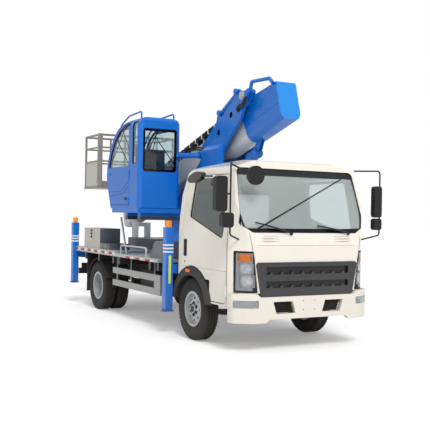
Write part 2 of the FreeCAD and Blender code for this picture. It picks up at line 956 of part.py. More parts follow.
def leaf_pack(axle_x, half_length, inner_y, outer_y):
    """A bowed pack of three leaves under a rail, with hangers at its eyes."""
    leaves = []
    for i in range(3):
        reach = half_length * (1 - i * 0.28)
        low = spring_seat_z + spring_leaf * (2 - i)
        bow = spring_arc_height * (reach / half_length) ** 2
        ends = [Vec(axle_x - reach, 0, low + bow), Vec(axle_x, 0, low), Vec(axle_x + reach, 0, low + bow)]
        up = Vec(0, 0, spring_leaf * 1.3)
        lower = Part.Arc(ends[0], ends[1], ends[2]).toShape()
        upper = Part.Arc(ends[0] + up, ends[1] + up, ends[2] + up).toShape()
        sides = [Part.LineSegment(ends[0], ends[0] + up).toShape(), Part.LineSegment(ends[2], ends[2] + up).toShape()]
        face = Part.Face(Part.Wire(Part.__sortEdges__([lower, sides[1], upper, sides[0]])))
        leaf = face.extrude(Vec(0, outer_y - inner_y, 0))
        leaf.translate(Vec(0, inner_y, 0))
        leaves.append(leaf)
    hangers = []
    for side in (-1, 1):
        x = axle_x + side * half_length
        hangers.append(block(x - spring_width / 2, x + spring_width / 2, inner_y, outer_y,
                             spring_seat_z + spring_arc_height + spring_leaf * 2, rail_bottom_z))
    return joined(leaves + hangers)


def build_chassis():
    """Ladder frame of channel rails and cross members, springs, engine and driveline."""
    outer = rail_inner_y + rail_width
    rail = block(rail_rear_x, rail_front_x, rail_inner_y, outer, rail_bottom_z, rail_top_z)
    channel = block(rail_rear_x - cut_over, rail_front_x + cut_over, rail_inner_y - cut_over, outer - rail_wall,
                    rail_bottom_z + rail_wall, rail_top_z - rail_wall)
    members = []
    shaft_z = (engine_bottom_z + rail_top_z) / 2
    nose = Vec(rear_axle_x + diff_radius * 1.7, 0, tyre_radius + diff_radius * 0.2)
    room = rod(Vec(gearbox_rear_x, 0, shaft_z), nose, prop_shaft_radius + moving_gap)
    for share in cross_member_shares:
        x = part_way(rail_rear_x, rail_front_x, share)
        member = block(x - cross_member_width / 2, x + cross_member_width / 2, -outer + rail_wall, outer - rail_wall,
                       rail_bottom_z + cross_member_inset, rail_top_z - cross_member_inset)
        members.append(member.cut(room))
    save("chassis_frame", joined([both(rail.cut(channel))] + members))

    engine = block(engine_rear_x, engine_front_x, -engine_half_width, engine_half_width, engine_bottom_z,
                   engine_top_z, mount_arm_width / 2, "x")
    arms = []
    for x in (engine_rear_x + mount_arm_width, engine_front_x - mount_arm_width):
        arms.append(block(x - mount_arm_width / 2, x + mount_arm_width / 2, -outer + rail_wall, outer - rail_wall,
                          rail_bottom_z + cross_member_inset, rail_top_z - cross_member_inset))
    save("engine_block", joined([engine] + arms))

    gearbox = prism([(engine_rear_x, shaft_z - gearbox_half_height), (engine_rear_x, shaft_z + gearbox_half_height),
                     (gearbox_rear_x, shaft_z + gearbox_half_height * gearbox_front_share),
                     (gearbox_rear_x, shaft_z - gearbox_half_height * gearbox_front_share)],
                    "y", -gearbox_half_width, gearbox_half_width, rail_wall)
    shaft = rod(Vec(gearbox_rear_x, 0, shaft_z), nose, prop_shaft_radius)
    neck = rod(Vec(rear_axle_x, 0, tyre_radius), nose, diff_radius * 0.5)
    save("driveline", joined([gearbox, shaft.cut(neck)]))


def outrigger_box(x):
    """The four walls of a transverse box that holds one pair of outrigger beams."""
    half = outrigger_box_width / 2
    wall = outrigger_box_wall
    wide = outrigger_box_half
    walls = [block(x - half, x + half, -wide, wide, low, low + wall) for low in (subframe_top_z, bearer_top_z - wall)]
    for start in (x - half, x + half - wall):
        walls.append(block(start, start + wall, -wide, wide, subframe_top_z + wall, bearer_top_z - wall))
    return walls


def bearer_places():
    """Where the deck's bearers stand along the truck."""
    return [part_way(deck_rear_x, deck_front_x, share) for share in bearer_shares]


def build_subframe():
    """Subframe on the rails, deck bearers and the two outrigger boxes."""
    outer = rail_inner_y + rail_width
    rail = block(rail_rear_x, subframe_front_x, rail_inner_y, outer, rail_top_z, subframe_top_z)
    bearers = []
    for x in bearer_places():
        bearers.append(block(x - bearer_width / 2, x + bearer_width / 2, -deck_half_width + deck_edge_width,
                             deck_half_width - deck_edge_width, subframe_top_z, bearer_top_z))
    boxes = outrigger_box(front_jack_x) + outrigger_box(rear_jack_x)
    foot = block(slew_x - pedestal_foot_half, slew_x + pedestal_foot_half, -outer, outer, subframe_top_z,
                 subframe_top_z + pedestal_foot_height)
    column = disc("z", slew_x, 0, subframe_top_z + pedestal_foot_height, pedestal_top_z, pedestal_radius)
    ring = disc("z", slew_x, 0, pedestal_top_z, pedestal_top_z + ring_height - seat_gap, ring_radius)
    save("subframe", fitted([rail, mirrored(rail)] + bearers + boxes + [foot, column, ring]))


def build_outriggers():
    """Beams that slide out with their jack tubes, and the legs that drop from them."""
    for end, x, foot_z in (("front", front_jack_x, jack_foot_z), ("rear", rear_jack_x, rear_foot_z)):
        half = outrigger_box_width / 2 - outrigger_box_wall - seat_gap
        low = subframe_top_z + outrigger_box_wall + seat_gap
        high = bearer_top_z - outrigger_box_wall - seat_gap
        beam = block(x - half, x + half, beam_inner_y, jack_y, low, high)
        wall = outrigger_beam_wall
        hollow = block(x - half + wall, x + half - wall, beam_inner_y - cut_over, jack_y, low + wall, high - wall)
        tube_low = foot_z + jack_foot_height + jack_tube_lift
        tube_half = jack_width / 2
        bore_half = tube_half - jack_wall
        tube = block(x - tube_half, x + tube_half, jack_y - tube_half, jack_y + tube_half, tube_low, jack_top_z,
                     jack_wall)
        bore = block(x - bore_half, x + bore_half, jack_y - bore_half, jack_y + bore_half, tube_low - cut_over,
                     jack_top_z - jack_wall)
        lamp = disc("z", x, jack_y, jack_top_z, jack_top_z + beacon_height, beacon_radius)
        arm = joined([beam.cut(hollow), tube, lamp]).cut(bore)
        leg_half = bore_half - seat_gap
        leg = block(x - leg_half, x + leg_half, jack_y - leg_half, jack_y + leg_half, foot_z + jack_foot_height,
                    foot_z + jack_foot_height + jack_leg_length)
        foot_half = jack_foot_width / 2
        foot = block(x - foot_half * 0.62, x + foot_half * 0.62, jack_y - foot_half, jack_y + foot_half, foot_z,
                     foot_z + jack_foot_height, jack_wall * 2)
        leg = joined([leg, foot])
        save("outrigger_" + end + "_left", arm)
        save("outrigger_" + end + "_right", mirrored(arm))
        save("jack_leg_" + end + "_left", leg)
        save("jack_leg_" + end + "_right", mirrored(leg))


def deck_plates():
    """Aluminium deck in two levels with edge rails, notched for the rear jacks and the turntable."""
    notch = jack_width / 2 + jack_notch
    corner = block(deck_rear_x - cut_over, rear_jack_x + notch, jack_y - notch, deck_half_width + cut_over,
                   deck_top_z - deck_edge - cut_over, deck_top_z + cut_over)
    well = disc("z", slew_x, 0, deck_top_z - deck_edge - cut_over, deck_top_z + cut_over,
                pedestal_radius + moving_gap)
    spans = ((deck_rear_x, deck_step_rear_x, 0), (deck_step_rear_x, deck_front_x, deck_front_drop))
    plates = []
    for rear, front, down in spans:
        top = deck_top_z - down
        low = deck_top_z - deck_edge
        rail = block(rear, front, deck_half_width - deck_edge_width, deck_half_width, low, top)
        plates += [block(rear, front, -deck_half_width, deck_half_width, top - deck_floor, top), rail, mirrored(rail),
                   block(rear, rear + deck_edge_width, -deck_half_width, deck_half_width, low, top),
                   block(front - deck_edge_width, front, -deck_half_width, deck_half_width, low, top)]
    return [plate.cut([both(corner), well]) for plate in plates]


def build_deck_fittings():
    """The deck with its rails, the boxes on it and the boom rest."""
    rear_top = deck_top_z
    front_top = deck_top_z - deck_front_drop
    cabinet = block(cabinet_rear_x, cabinet_front_x, cabinet_outer_y, cabinet_inner_y, rear_top,
                    rear_top + cabinet_height)
    tool_box = block(tool_box_rear_x, tool_box_front_x, tool_box_outer_y, tool_box_inner_y, rear_top,
                     rear_top + tool_box_height)
    low_box = block(low_box_rear_x, low_box_front_x, low_box_outer_y, low_box_inner_y, rear_top,
                    rear_top + low_box_height)
    wedge = prism([(wedge_rear_x, front_top), (wedge_front_x, front_top), (wedge_front_x, front_top + wedge_height),
                   (wedge_rear_x + (wedge_front_x - wedge_rear_x) * wedge_slope_share, front_top + wedge_height)],
                  "y", wedge_outer_y, wedge_inner_y)
    save("deck_boxes", apart([cabinet, tool_box, low_box, wedge]))

    rail = bent_tube([Vec(step_rail_rear_x, step_rail_y, front_top),
                      Vec(step_rail_rear_x, step_rail_y, front_top + step_rail_height),
                      Vec(step_rail_front_x, step_rail_y, front_top + step_rail_height),
                      Vec(step_rail_front_x, step_rail_y, front_top)], step_rail_radius, step_rail_radius * 3)
    ladder = rod(Vec(ladder_foot_x, ladder_y, front_top), Vec(ladder_top_x, ladder_y, ladder_top_z), ladder_radius)
    ladder = ladder.cut(block(ladder_foot_x - jack_width, ladder_foot_x + jack_width, ladder_y - jack_width,
                              ladder_y + jack_width, front_top - cut_over, front_top))
    save("deck", fitted(deck_plates() + [rail, ladder]))

    boom_low = boom_point(boom_u_at(rest_x, -boom_drop - boom_height), -boom_drop - boom_height).z
    head_top = boom_low - rest_clear - rest_depth / 2 * math.tan(math.radians(boom_slope))
    legs = block(rest_x - rest_depth / 2, rest_x + rest_depth / 2, rest_half_width - rest_column, rest_half_width,
                 rear_top, head_top)
    head = block(rest_x - rest_depth / 2, rest_x + rest_depth / 2, -rest_half_width, rest_half_width,
                 head_top - rest_head, head_top)
    foot = block(rest_x - rest_depth / 2, rest_x + rest_depth / 2, -rest_half_width, rest_half_width,
                 rear_top, rear_top + rest_head)
    save("boom_rest", joined([both(legs), head, foot]))


def build_side_gear():
    """Side guards, tanks, rear bar, rear mudguards and tail lamps."""
    y0 = guard_y - guard_wall
    rails = [block(guard_rear_x, guard_front_x, y0, guard_y, guard_top_z - guard_rail_height, guard_top_z),
             block(guard_rear_x, guard_front_x, y0, guard_y, guard_bottom_z, guard_bottom_z + guard_rail_height),
             block(guard_plate_rear_x, guard_front_x, y0, guard_y, guard_bottom_z, guard_top_z)]
    for share in guard_post_shares:
        x = part_way(guard_rear_x, guard_front_x, share)
        rails.append(block(x - guard_post_width / 2, x + guard_post_width / 2, y0 - guard_wall, y0,
                           guard_bottom_z, deck_top_z - deck_edge))
        rails.append(block(x - guard_post_width / 2, x + guard_post_width / 2, y0 - guard_wall,
                           deck_half_width, deck_top_z - deck_edge - rail_wall, deck_top_z - deck_edge))
    guard = joined(rails)
    save("side_guards", apart([guard, mirrored(guard)]))

    tank = block(tank_rear_x, tank_front_x, tank_inner_y, tank_outer_y, tank_bottom_z, tank_top_z, tank_corner, "x")
    outer = rail_inner_y + rail_width
    brackets = [block(x, x + guard_post_width, outer, tank_inner_y, rail_bottom_z + rail_wall, rail_top_z)
                for x in (tank_rear_x + tank_corner, tank_front_x - tank_corner - guard_post_width)]
    battery = block(battery_rear_x, battery_front_x, battery_outer_y, -outer, battery_bottom_z, battery_top_z,
                    rail_wall * 2, "x")
    save("side_tanks", apart([joined([tank] + brackets), battery]))

    bar = block(rear_bar_x, rear_bar_x + rear_bar_depth, -rear_bar_half, rear_bar_half, rear_bar_z,
                rear_bar_z + rear_bar_height)
    stay = block(rear_bar_x, rail_rear_x, stay_y - stay_width / 2, stay_y + stay_width / 2,
                 rear_bar_z + rear_bar_height, subframe_top_z)
    shelf = block(rear_bar_x, rear_bar_x + rear_bar_depth, tail_lamp_y - tail_lamp_width / 2,
                  tail_lamp_y + tail_lamp_width / 2, rear_bar_z + rear_bar_height,
                  rear_bar_z + rear_bar_height + tail_lamp_height)
    save("rear_bar", joined([bar, both(stay), both(shelf)]))

    centre = (rear_axle_x, tyre_radius)
    inner_radius = tyre_radius + rear_guard_gap
    outer_y = rear_wheel_y + tyre_width / 2 + rear_guard_over
    ring = disc("y", centre[0], centre[1], rear_wheel_y - dual_spacing - tyre_width / 2, outer_y,
                inner_radius + rear_guard_wall)
    hole = disc("y", centre[0], centre[1], 0, deck_half_width + cut_over, inner_radius)
    keep = block(rear_axle_x - inner_radius * 1.2, rear_axle_x + inner_radius * 1.2, 0, deck_half_width,
                 tyre_radius + inner_radius * 0.35, bearer_top_z)
    guard = ring.cut(hole).common(keep)
    flap = block(rear_flap_x - rear_flap_wall, rear_flap_x, rear_wheel_y - dual_spacing - tyre_width / 2, outer_y,
                 rear_flap_bottom_z, bearer_top_z)
    bearers = [block(x - bearer_width / 2, x + bearer_width / 2, 0, deck_half_width, subframe_top_z, bearer_top_z)
               for x in bearer_places()]
    piece = apart([guard.cut(bearers), flap])
    front = front_arch()
    save("mudguards", apart([piece, mirrored(piece), front, mirrored(front)]))


def softened(shares, size, depth):
    """The corner rounds of an outline that has moved inwards by depth."""
    return [max(share * size - depth, least_round) for share in shares]


def cab_form(depth):
    """The cab's outer form moved inwards by depth: side, front and plan outlines that meet."""
    side = inset(spread(cab_side_shares, cab_rear_x, cab_front_x, cab_skirt_z, cab_roof_z), depth)
    front = inset(spread(cab_front_shares, 0, cab_half_width, cab_skirt_z, cab_roof_z), depth)
    plan = spread(cab_plan_shares, cab_rear_x - plan_clear, cab_front_x, 0, cab_half_width + plan_clear)
    plan = inset(plan, depth)
    wide = cab_half_width + cut_over
    solid = prism(side, "y", -wide, wide, softened(cab_side_round_shares, cab_height, depth))
    solid = solid.common(prism(front, "x", cab_rear_x - cut_over, cab_front_x + cut_over,
                               softened(cab_front_round_shares, cab_height, depth)))
    return solid.common(prism(plan, "z", cab_skirt_z - cut_over, cab_roof_z + cut_over,
                              softened(cab_plan_round_shares, cab_height, depth)))


def cab_skin(high, low):
    """The layer of the cab between two depths below its surface."""
    return cab_form(high).cut(cab_form(low))


def cab_outline(shares):
    """An outline in the cab's front view, from its middle and its skirt."""
    return spread(shares, 0, cab_half_width, cab_skirt_z, cab_roof_z)


def hinge(x, y, z, half_length, radius, fixed):
    """Barrels of a hinge on a vertical line: the middle one fixed, or the two beside it that move."""
    if fixed:
        return disc("z", x, y, z - half_length, z + half_length, radius)
    upper = disc("z", x, y, z + half_length + seat_gap, z + 2 * half_length, radius)
    lower = disc("z", x, y, z - 2 * half_length, z - half_length - seat_gap, radius)
    return upper.fuse(lower)


def hinge_room(x, y, z, half_length, radius, fixed):
    """The room that the other leaf leaves round those barrels."""
    wide = radius + moving_gap / 2
    if fixed:
        return disc("z", x, y, z - half_length - moving_gap / 2, z + half_length + moving_gap / 2, wide)
    return disc("z", x, y, z - 2 * half_length - moving_gap / 2, z + 2 * half_length + moving_gap / 2, wide).cut(
        disc("z", x, y, z - half_length, z + half_length, wide + cut_over))


def door_outline(gap):
    """The door's edge in side view, moved inwards by gap."""
    points = [(door_rear_x, door_bottom_z), (door_rear_x, door_shoulder_z), (door_frame_rear_x, door_top_z),
              (door_frame_front_x, door_top_z), (door_front_x, door_belt_z), (door_front_x, door_bottom_z)]
    return inset(points, gap)


def arch_room(radius):
    """The round room of the front wheel arch in the cab's side."""
    return disc("y", arch_x, arch_z, arch_inner_y - cut_over, arch_outer_y + cut_over, radius)


def build_cab():
    """The hollow cab shell, its doors, glass, seats and dashboard."""
    outer = cab_form(0)
    inner = cab_form(cab_wall)
    tunnel_x0 = cab_rear_x - cut_over
    wide = tunnel_half_width
    cavity = inner.common(block(cab_rear_x, cab_front_x, -cab_half_width, cab_half_width, cab_floor_z, cab_roof_z))
    cavity = cavity.cut(block(tunnel_x0, tunnel_front_x, -wide, wide, cab_skirt_z, tunnel_top_z))
    well = block(step_well_rear_x, step_well_front_x, step_well_inner_y, cab_half_width - cab_wall,
                 step_well_z, cab_floor_z + cab_wall)
    shell = outer.cut([cavity, both(well)])
    under = block(cab_rear_x - cut_over, under_front_x, -under_half_width, under_half_width,
                  cab_skirt_z - cut_over, under_top_z)
    engine_room = block(cab_rear_x - cut_over, tunnel_front_x - tunnel_wall, -wide + tunnel_wall, wide - tunnel_wall,
                        under_top_z - cut_over, tunnel_top_z - tunnel_wall)
    wheel_room = disc("y", front_axle_x, tyre_radius, liner_inner_y - liner_wall, cab_half_width + cut_over,
                      liner_radius + liner_wall)
    shell = shell.cut([under, engine_room, both(wheel_room), both(arch_room(arch_radius))])

    door_low_y = cab_half_width - door_wall * 3.4
    door_cut = prism(door_outline(0), "y", door_low_y, cab_half_width + cut_over, door_round)
    door_height = door_top_z - door_bottom_z
    window = spread(door_window_shares, door_rear_x, door_front_x, door_bottom_z, door_top_z)
    window_cut = prism(window, "y", door_low_y - door_wall, cab_half_width + cut_over,
                       softened(door_window_round_shares, door_height, 0))
    hinge_x = door_front_x - hinge_out
    hinge_y = cab_half_width + hinge_out
    heights = (hinge_low_z, hinge_high_z)
    door = outer.cut(inner).common(prism(door_outline(door_gap), "y", door_low_y, cab_half_width + cut_over,
                                         door_round - door_gap))
    door = door.cut(block(cab_rear_x, cab_front_x, door_low_y - cut_over, cab_half_width - door_wall, cab_skirt_z,
                          door_inner_top_z))
    low_fill = outer.common(block(step_well_rear_x - cut_over, door_front_x, cab_half_width - door_wall, cab_half_width,
                                  door_bottom_z, cab_floor_z))
    door = door.fuse(low_fill.common(prism(door_outline(door_gap), "y", door_low_y, cab_half_width,
                                           door_round - door_gap)))
    door = door.cut([window_cut, arch_room(arch_radius + moving_gap)])
    pull = block(handle_rear_x, handle_front_x, cab_half_width - handle_depth, cab_half_width + cut_over,
                 handle_bottom_z, handle_top_z, handle_depth, "y")
    door = door.cut(pull).removeSplitter()
    for z in heights:
        door = door.cut(hinge_room(hinge_x, hinge_y, z, hinge_length / 2, hinge_radius, True))
        door = door.fuse(hinge(hinge_x, hinge_y, z, hinge_length / 2, hinge_radius, False))
    shell = shell.cut(both(door_cut))
    for z in heights:
        shell = shell.cut(both(hinge_room(hinge_x, hinge_y, z, hinge_length / 2, hinge_radius, False)))
        shell = shell.fuse(both(hinge(hinge_x, hinge_y, z, hinge_length / 2, hinge_radius, True)))
    largest = sorted(door.Solids, key=lambda solid: solid.Volume)[-1]
    save("door_left", largest)
    save("door_right", joined([mirrored(largest), kerb_mirror()]))
    panes = cab_skin(glass_set_back, glass_set_back + glass_wall)
    pane = panes.common(window_cut)
    save("door_glass_left", pane)
    save("door_glass_right", mirrored(pane))

    screen = prism(cab_outline(screen_shares), "x", cab_front_x - screen_depth, cab_front_x + cut_over, screen_round)
    rear_window = block(cab_rear_x - cut_over, cab_rear_x + cab_wall * 3, -rear_window_half, rear_window_half,
                        rear_window_bottom_z, rear_window_top_z, rear_window_round, "x")
    save("cab_glass", apart([panes.common(screen), panes.common(rear_window)]))
    seam = prism(cab_outline(seam_shares), "x", cab_front_x - lamp_back * 3, cab_front_x + cut_over)
    marks = [both(seam)]
    for i in range(2):
        low = vent_low_z + vent_pitch * i
        marks.append(both(block(cab_front_x - lamp_back, cab_front_x + cut_over, cab_half_width * vent_share[0],
                                cab_half_width * vent_share[1], low, low + vent_height)))
    grooves = Part.makeCompound(marks).common(cab_skin(-seam_depth, seam_depth))
    shell = shell.cut([screen, rear_window, both(lamp_prism()), grille_prism(0), grooves])
    shell = shell.cut(block(bumper_rear_x, cab_front_x + cut_over, -cab_half_width - cut_over,
                            cab_half_width + cut_over, cab_skirt_z - cut_over, bumper_top_z))
    body = sorted(shell.Solids, key=lambda solid: solid.Volume)[-1]
    save("cab_shell", body)
    build_front()
    build_cab_inside()


def lamp_prism():
    """The outline of a headlamp, drawn through the cab's front corner."""
    points = spread(lamp_shares, 0, cab_half_width, lamp_bottom_z, lamp_top_z)
    return prism(points, "x", lamp_rear_x, cab_front_x + cut_over, lens_round)


def lens_prism(sides, heights, depth):
    """The outline of one lens of a headlamp, moved inwards by depth."""
    low = part_way(lamp_bottom_z, lamp_top_z, heights[0]) + depth
    high = part_way(lamp_bottom_z, lamp_top_z, heights[1]) - depth
    return block(lamp_rear_x, cab_front_x + cut_over, cab_half_width * sides[0] + depth,
                 cab_half_width * sides[1] - depth, low, high, lens_round, "x")


def lamp_bowl(sides, heights):
    """A reflector bowl behind the middle of a lens, turned with the cab's corner."""
    y = cab_half_width * (sides[0] + sides[1]) / 2
    z = part_way(lamp_bottom_z, lamp_top_z, (heights[0] + heights[1]) / 2)
    turn = math.radians(bowl_turn)
    axis = Vec(math.cos(turn), math.sin(turn), 0)
    reach = cab_form(0).common(block(cab_rear_x, cab_front_x, y, y + seat_gap, z, z + seat_gap)).BoundBox.XMax
    place = Vec(reach, y, z) - axis * bowl_back
    rim = bowl_radius
    return turned([(0, -bowl_depth), (rim, -bowl_depth), (rim, bowl_depth), (rim - lens_wall, bowl_depth),
                   (rim * 0.4, 0), (0, 0)], place, axis)


def grille_prism(depth):
    """The grille's outline, drawn through the cab's front."""
    points = [(-grille_bottom_half, grille_bottom_z), (grille_bottom_half, grille_bottom_z),
              (grille_top_half, grille_top_z), (-grille_top_half, grille_top_z)]
    return prism(inset(points, depth), "x", cab_front_x - cab_wall * 2, cab_front_x + cut_over, grille_back)


def bumper_bar(depth):
    """The bumper's plan outline moved inwards by depth, over its whole height."""
    plan = inset(spread(bumper_plan_shares, bumper_rear_x, front_reach, 0, cab_half_width), depth)
    rounds = [0, bumper_round, bumper_round * 2, bumper_round * 2, bumper_round, 0]
    return prism(plan, "z", bumper_bottom_z, bumper_top_z, [max(r - depth, least_round) for r in rounds])


def build_bumper():
    """The bumper with its raised ends, inlets, fog lamp recesses and holes for a plate."""
    wide = cab_half_width
    right = [(wide, bumper_bottom_z), (wide, bumper_top_z), (wide * bumper_dip_share[0], bumper_top_z),
             (wide * bumper_dip_share[1], bumper_dip_z)]
    low = [(wide * bumper_rise_share[1], bumper_rise_z), (wide * bumper_rise_share[0], bumper_bottom_z)]
    left = [(-y, z) for y, z in reversed(right)]
    outline = right + left + [(-y, z) for y, z in reversed(low)] + low
    face = prism(outline, "x", bumper_rear_x, front_reach)
    inner = bumper_bar(bumper_wall)
    inner = inner.fuse(block(bumper_rear_x - cut_over, bumper_rear_x + bumper_wall * 2, -wide + bumper_wall / 2,
                             wide - bumper_wall / 2, bumper_bottom_z, bumper_top_z))
    bar = bumper_bar(0).common(face).cut(inner)
    brackets = both(block(rail_front_x, front_reach - bumper_wall / 2, rail_inner_y, rail_inner_y + rail_width,
                          rail_bottom_z, bumper_dip_z))
    inlet = prism([(inlet_inner_y, inlet_bottom_z), (inlet_outer_y - inlet_slope, inlet_bottom_z),
                   (inlet_outer_y, inlet_top_z), (inlet_inner_y + inlet_slope, inlet_top_z)], "x",
                  front_reach - bumper_wall * 2, front_reach + cut_over, rail_wall)
    fog = block(bumper_rear_x + bumper_wall, front_reach + cut_over, fog_inner_y, fog_outer_y, fog_bottom_z, fog_top_z,
                rail_wall, "x").cut(bumper_bar(fog_depth))
    holes = []
    for y in (-plate_spacing_y / 2, plate_spacing_y / 2):
        for z in (plate_hole_z - plate_spacing_z / 2, plate_hole_z + plate_spacing_z / 2):
            holes.append(disc("x", y, z, front_reach - plate_hole_depth, front_reach + cut_over, plate_hole_radius))
    bar = bar.cut([both(inlet), both(fog)] + holes)
    save("front_bumper", joined([bar, brackets.cut(both(inlet))]))


def build_front():
    """Grille, headlamps, lenses, bumper, wheel arches and mirrors."""
    front_x = cab_front_x + grille_proud
    grille = grille_prism(0).common(block(cab_front_x - grille_back, front_x, -cab_half_width, cab_half_width,
                                          cab_skirt_z, cab_roof_z))
    teeth = []
    for share, height in zip(slot_middle_shares, slot_heights):
        middle = part_way(grille_bottom_z, grille_top_z, share)
        low = middle - height / 2
        half = grille_bottom_half * slot_half_share
        grille = grille.cut(block(front_x - slot_depth, front_x + cut_over, -half, half, low, low + height,
                                  slot_depth / 2, "x"))
        pitch = 2 * half / tooth_count
        for i in range(tooth_count):
            y = -half + pitch * (i + 0.5)
            teeth.append(prism([(y - tooth_width / 2, low), (y + tooth_width / 2, low), (y, low + tooth_height)],
                               "x", front_x - slot_depth, front_x - grille_proud / 2))
    save("grille", joined([grille] + teeth))

    bezel = cab_skin(-lamp_proud, lamp_back).common(lamp_prism())
    pockets = cab_skin(-cut_over, lamp_pocket)
    bezel = bezel.cut([pockets.common(lens_prism(sides, heights, 0)) for sides, heights in lens_boxes])
    back = cab_skin(lens_wall * 2, lamp_back)
    bowls = [lamp_bowl(sides, heights).common(back) for sides, heights in lens_boxes[1:]]
    bezel = joined([bezel] + bowls)
    bezel = sorted(bezel.Solids, key=lambda solid: solid.Volume)[-1]
    save("headlamps", apart([bezel, mirrored(bezel)]))
    pane = cab_skin(0, lens_wall)
    lenses = [pane.common(lens_prism(sides, heights, seat_gap)) for sides, heights in lens_boxes]
    turn = math.radians(fog_turn)
    axis = Vec(math.cos(turn), math.sin(turn), 0)
    seat_x = bumper_bar(fog_depth).common(block(bumper_rear_x, front_reach, fog_lens_y, fog_lens_y + seat_gap,
                                                fog_bottom_z, fog_top_z)).BoundBox.XMax
    seat = Vec(seat_x, fog_lens_y, (fog_bottom_z + fog_top_z) / 2)
    fog_lens = rod(seat - axis * fog_lens_wall, seat + axis * fog_lens_wall, fog_lens_radius)
    lenses.append(fog_lens.cut(bumper_bar(fog_depth)))
    lens_set = apart(lenses)
    save("lamp_lenses", apart([lens_set, mirrored(lens_set)]))
    build_bumper()
    build_mirrors()


def front_arch():
    """The black lip round a front wheel and the liner behind it."""
    ring = disc("y", arch_x, arch_z, arch_inner_y, arch_outer_y, arch_radius)
    mouth = disc("y", front_axle_x, tyre_radius, 0, arch_outer_y + cut_over, arch_mouth_radius)
    keep = block(arch_rear_x, arch_x + arch_radius, arch_inner_y, arch_outer_y, arch_low_z, arch_z + arch_radius)
    lip = ring.cut(mouth).common(keep)
    liner = disc("y", front_axle_x, tyre_radius, liner_inner_y, arch_inner_y, liner_radius + liner_wall).cut(
        disc("y", front_axle_x, tyre_radius, 0, arch_inner_y + cut_over, liner_radius))
    liner = liner.common(block(arch_rear_x, front_axle_x + liner_radius + cut_over, liner_inner_y, arch_inner_y,
                               cab_skirt_z + cut_over, arch_z + arch_radius))
    return joined([lip, liner])


def mirror_head(x, y, width, low, height):
    """One mirror head whose outer edge is at y."""
    return block(x - mirror_depth / 2, x + mirror_depth / 2, y - width, y, low, low + height, mirror_round, "x")


def mirror_tube(x, y):
    """A mirror's bent tube from the roof's corner, down the pole and back to the cab."""
    places = [Vec(mirror_top_foot_x, mirror_foot_y, mirror_pole_top_z - mirror_tube_radius),
              Vec(x, y, mirror_pole_top_z), Vec(x, y, mirror_pole_bottom_z - mirror_tube_radius * 3),
              Vec(mirror_low_foot_x, mirror_low_foot_y, mirror_low_foot_z)]
    tube = bent_tube(places, mirror_tube_radius, mirror_tube_radius * 4).cut(cab_form(0))
    return sorted(tube.Solids, key=lambda solid: solid.Volume)[-1]


def build_mirrors():
    """Mirror frames with two heads each, and the round front mirror on the right."""
    edge = mirror_pole_y + mirror_tube_radius
    left = [mirror_head(mirror_pole_x, edge, mirror_width, main_mirror_z, main_mirror_height),
            mirror_head(mirror_pole_x, edge, mirror_width, low_mirror_z, low_mirror_height),
            mirror_tube(mirror_pole_x, mirror_pole_y)]
    edge = cab_half_width + right_reach
    middle = right_main_z + main_mirror_height / 2
    clamp = rod(Vec(right_pole_x, right_pole_y, middle), Vec(right_pole_x, edge - right_width / 2, middle),
                mirror_tube_radius)
    right = [mirror_head(right_pole_x, edge, right_width, right_main_z, main_mirror_height),
             mirror_head(right_pole_x, cab_half_width + right_low_reach, right_width, right_low_z,
                         right_low_height), mirror_tube(right_pole_x, right_pole_y), clamp]
    foot = Vec(round_mirror_x - round_mirror_depth, round_mirror_y, round_mirror_z)
    dish = rod(foot, foot + Vec(round_mirror_depth, 0, 0), round_mirror_radius)
    arm = rod(foot + Vec(round_mirror_depth / 2, 0, 0), Vec(mirror_top_foot_x, -mirror_foot_y,
              mirror_pole_top_z - mirror_tube_radius), mirror_tube_radius).cut(cab_form(0))
    arm = sorted(arm.Solids, key=lambda solid: solid.Volume)[-1]
    save("mirrors", fitted(left + [mirrored(piece) for piece in right] + [dish, arm]))


def kerb_mirror():
    """The oval mirror above the right door's window, with its bent arm."""
    plate = disc("y", kerb_mirror_x, kerb_mirror_z, kerb_mirror_y - kerb_mirror_depth / 2,
                 kerb_mirror_y + kerb_mirror_depth / 2, kerb_mirror_half_height)
    stretch = kerb_mirror_half_length / kerb_mirror_half_height
    matrix = FreeCAD.Matrix()
    matrix.scale(Vec(stretch, 1, 1))
    plate = plate.transformGeometry(matrix)
    plate.translate(Vec(kerb_mirror_x - kerb_mirror_x * stretch, 0, 0))
    plate.rotate(Vec(kerb_mirror_x, kerb_mirror_y, kerb_mirror_z), Vec(0, 1, 0), -kerb_mirror_tilt)
    start = Vec(kerb_arm_x, -cab_half_width + door_wall * 2, kerb_arm_z)
    bend = Vec(kerb_arm_x - kerb_mirror_depth, kerb_mirror_y, kerb_arm_z)
    arm = joined([rod(start, bend, kerb_arm_radius), rod(bend, Vec(kerb_mirror_x, kerb_mirror_y, kerb_arm_z),
                                                         kerb_arm_radius)])
    return joined([plate, arm]).cut(cab_form(0))


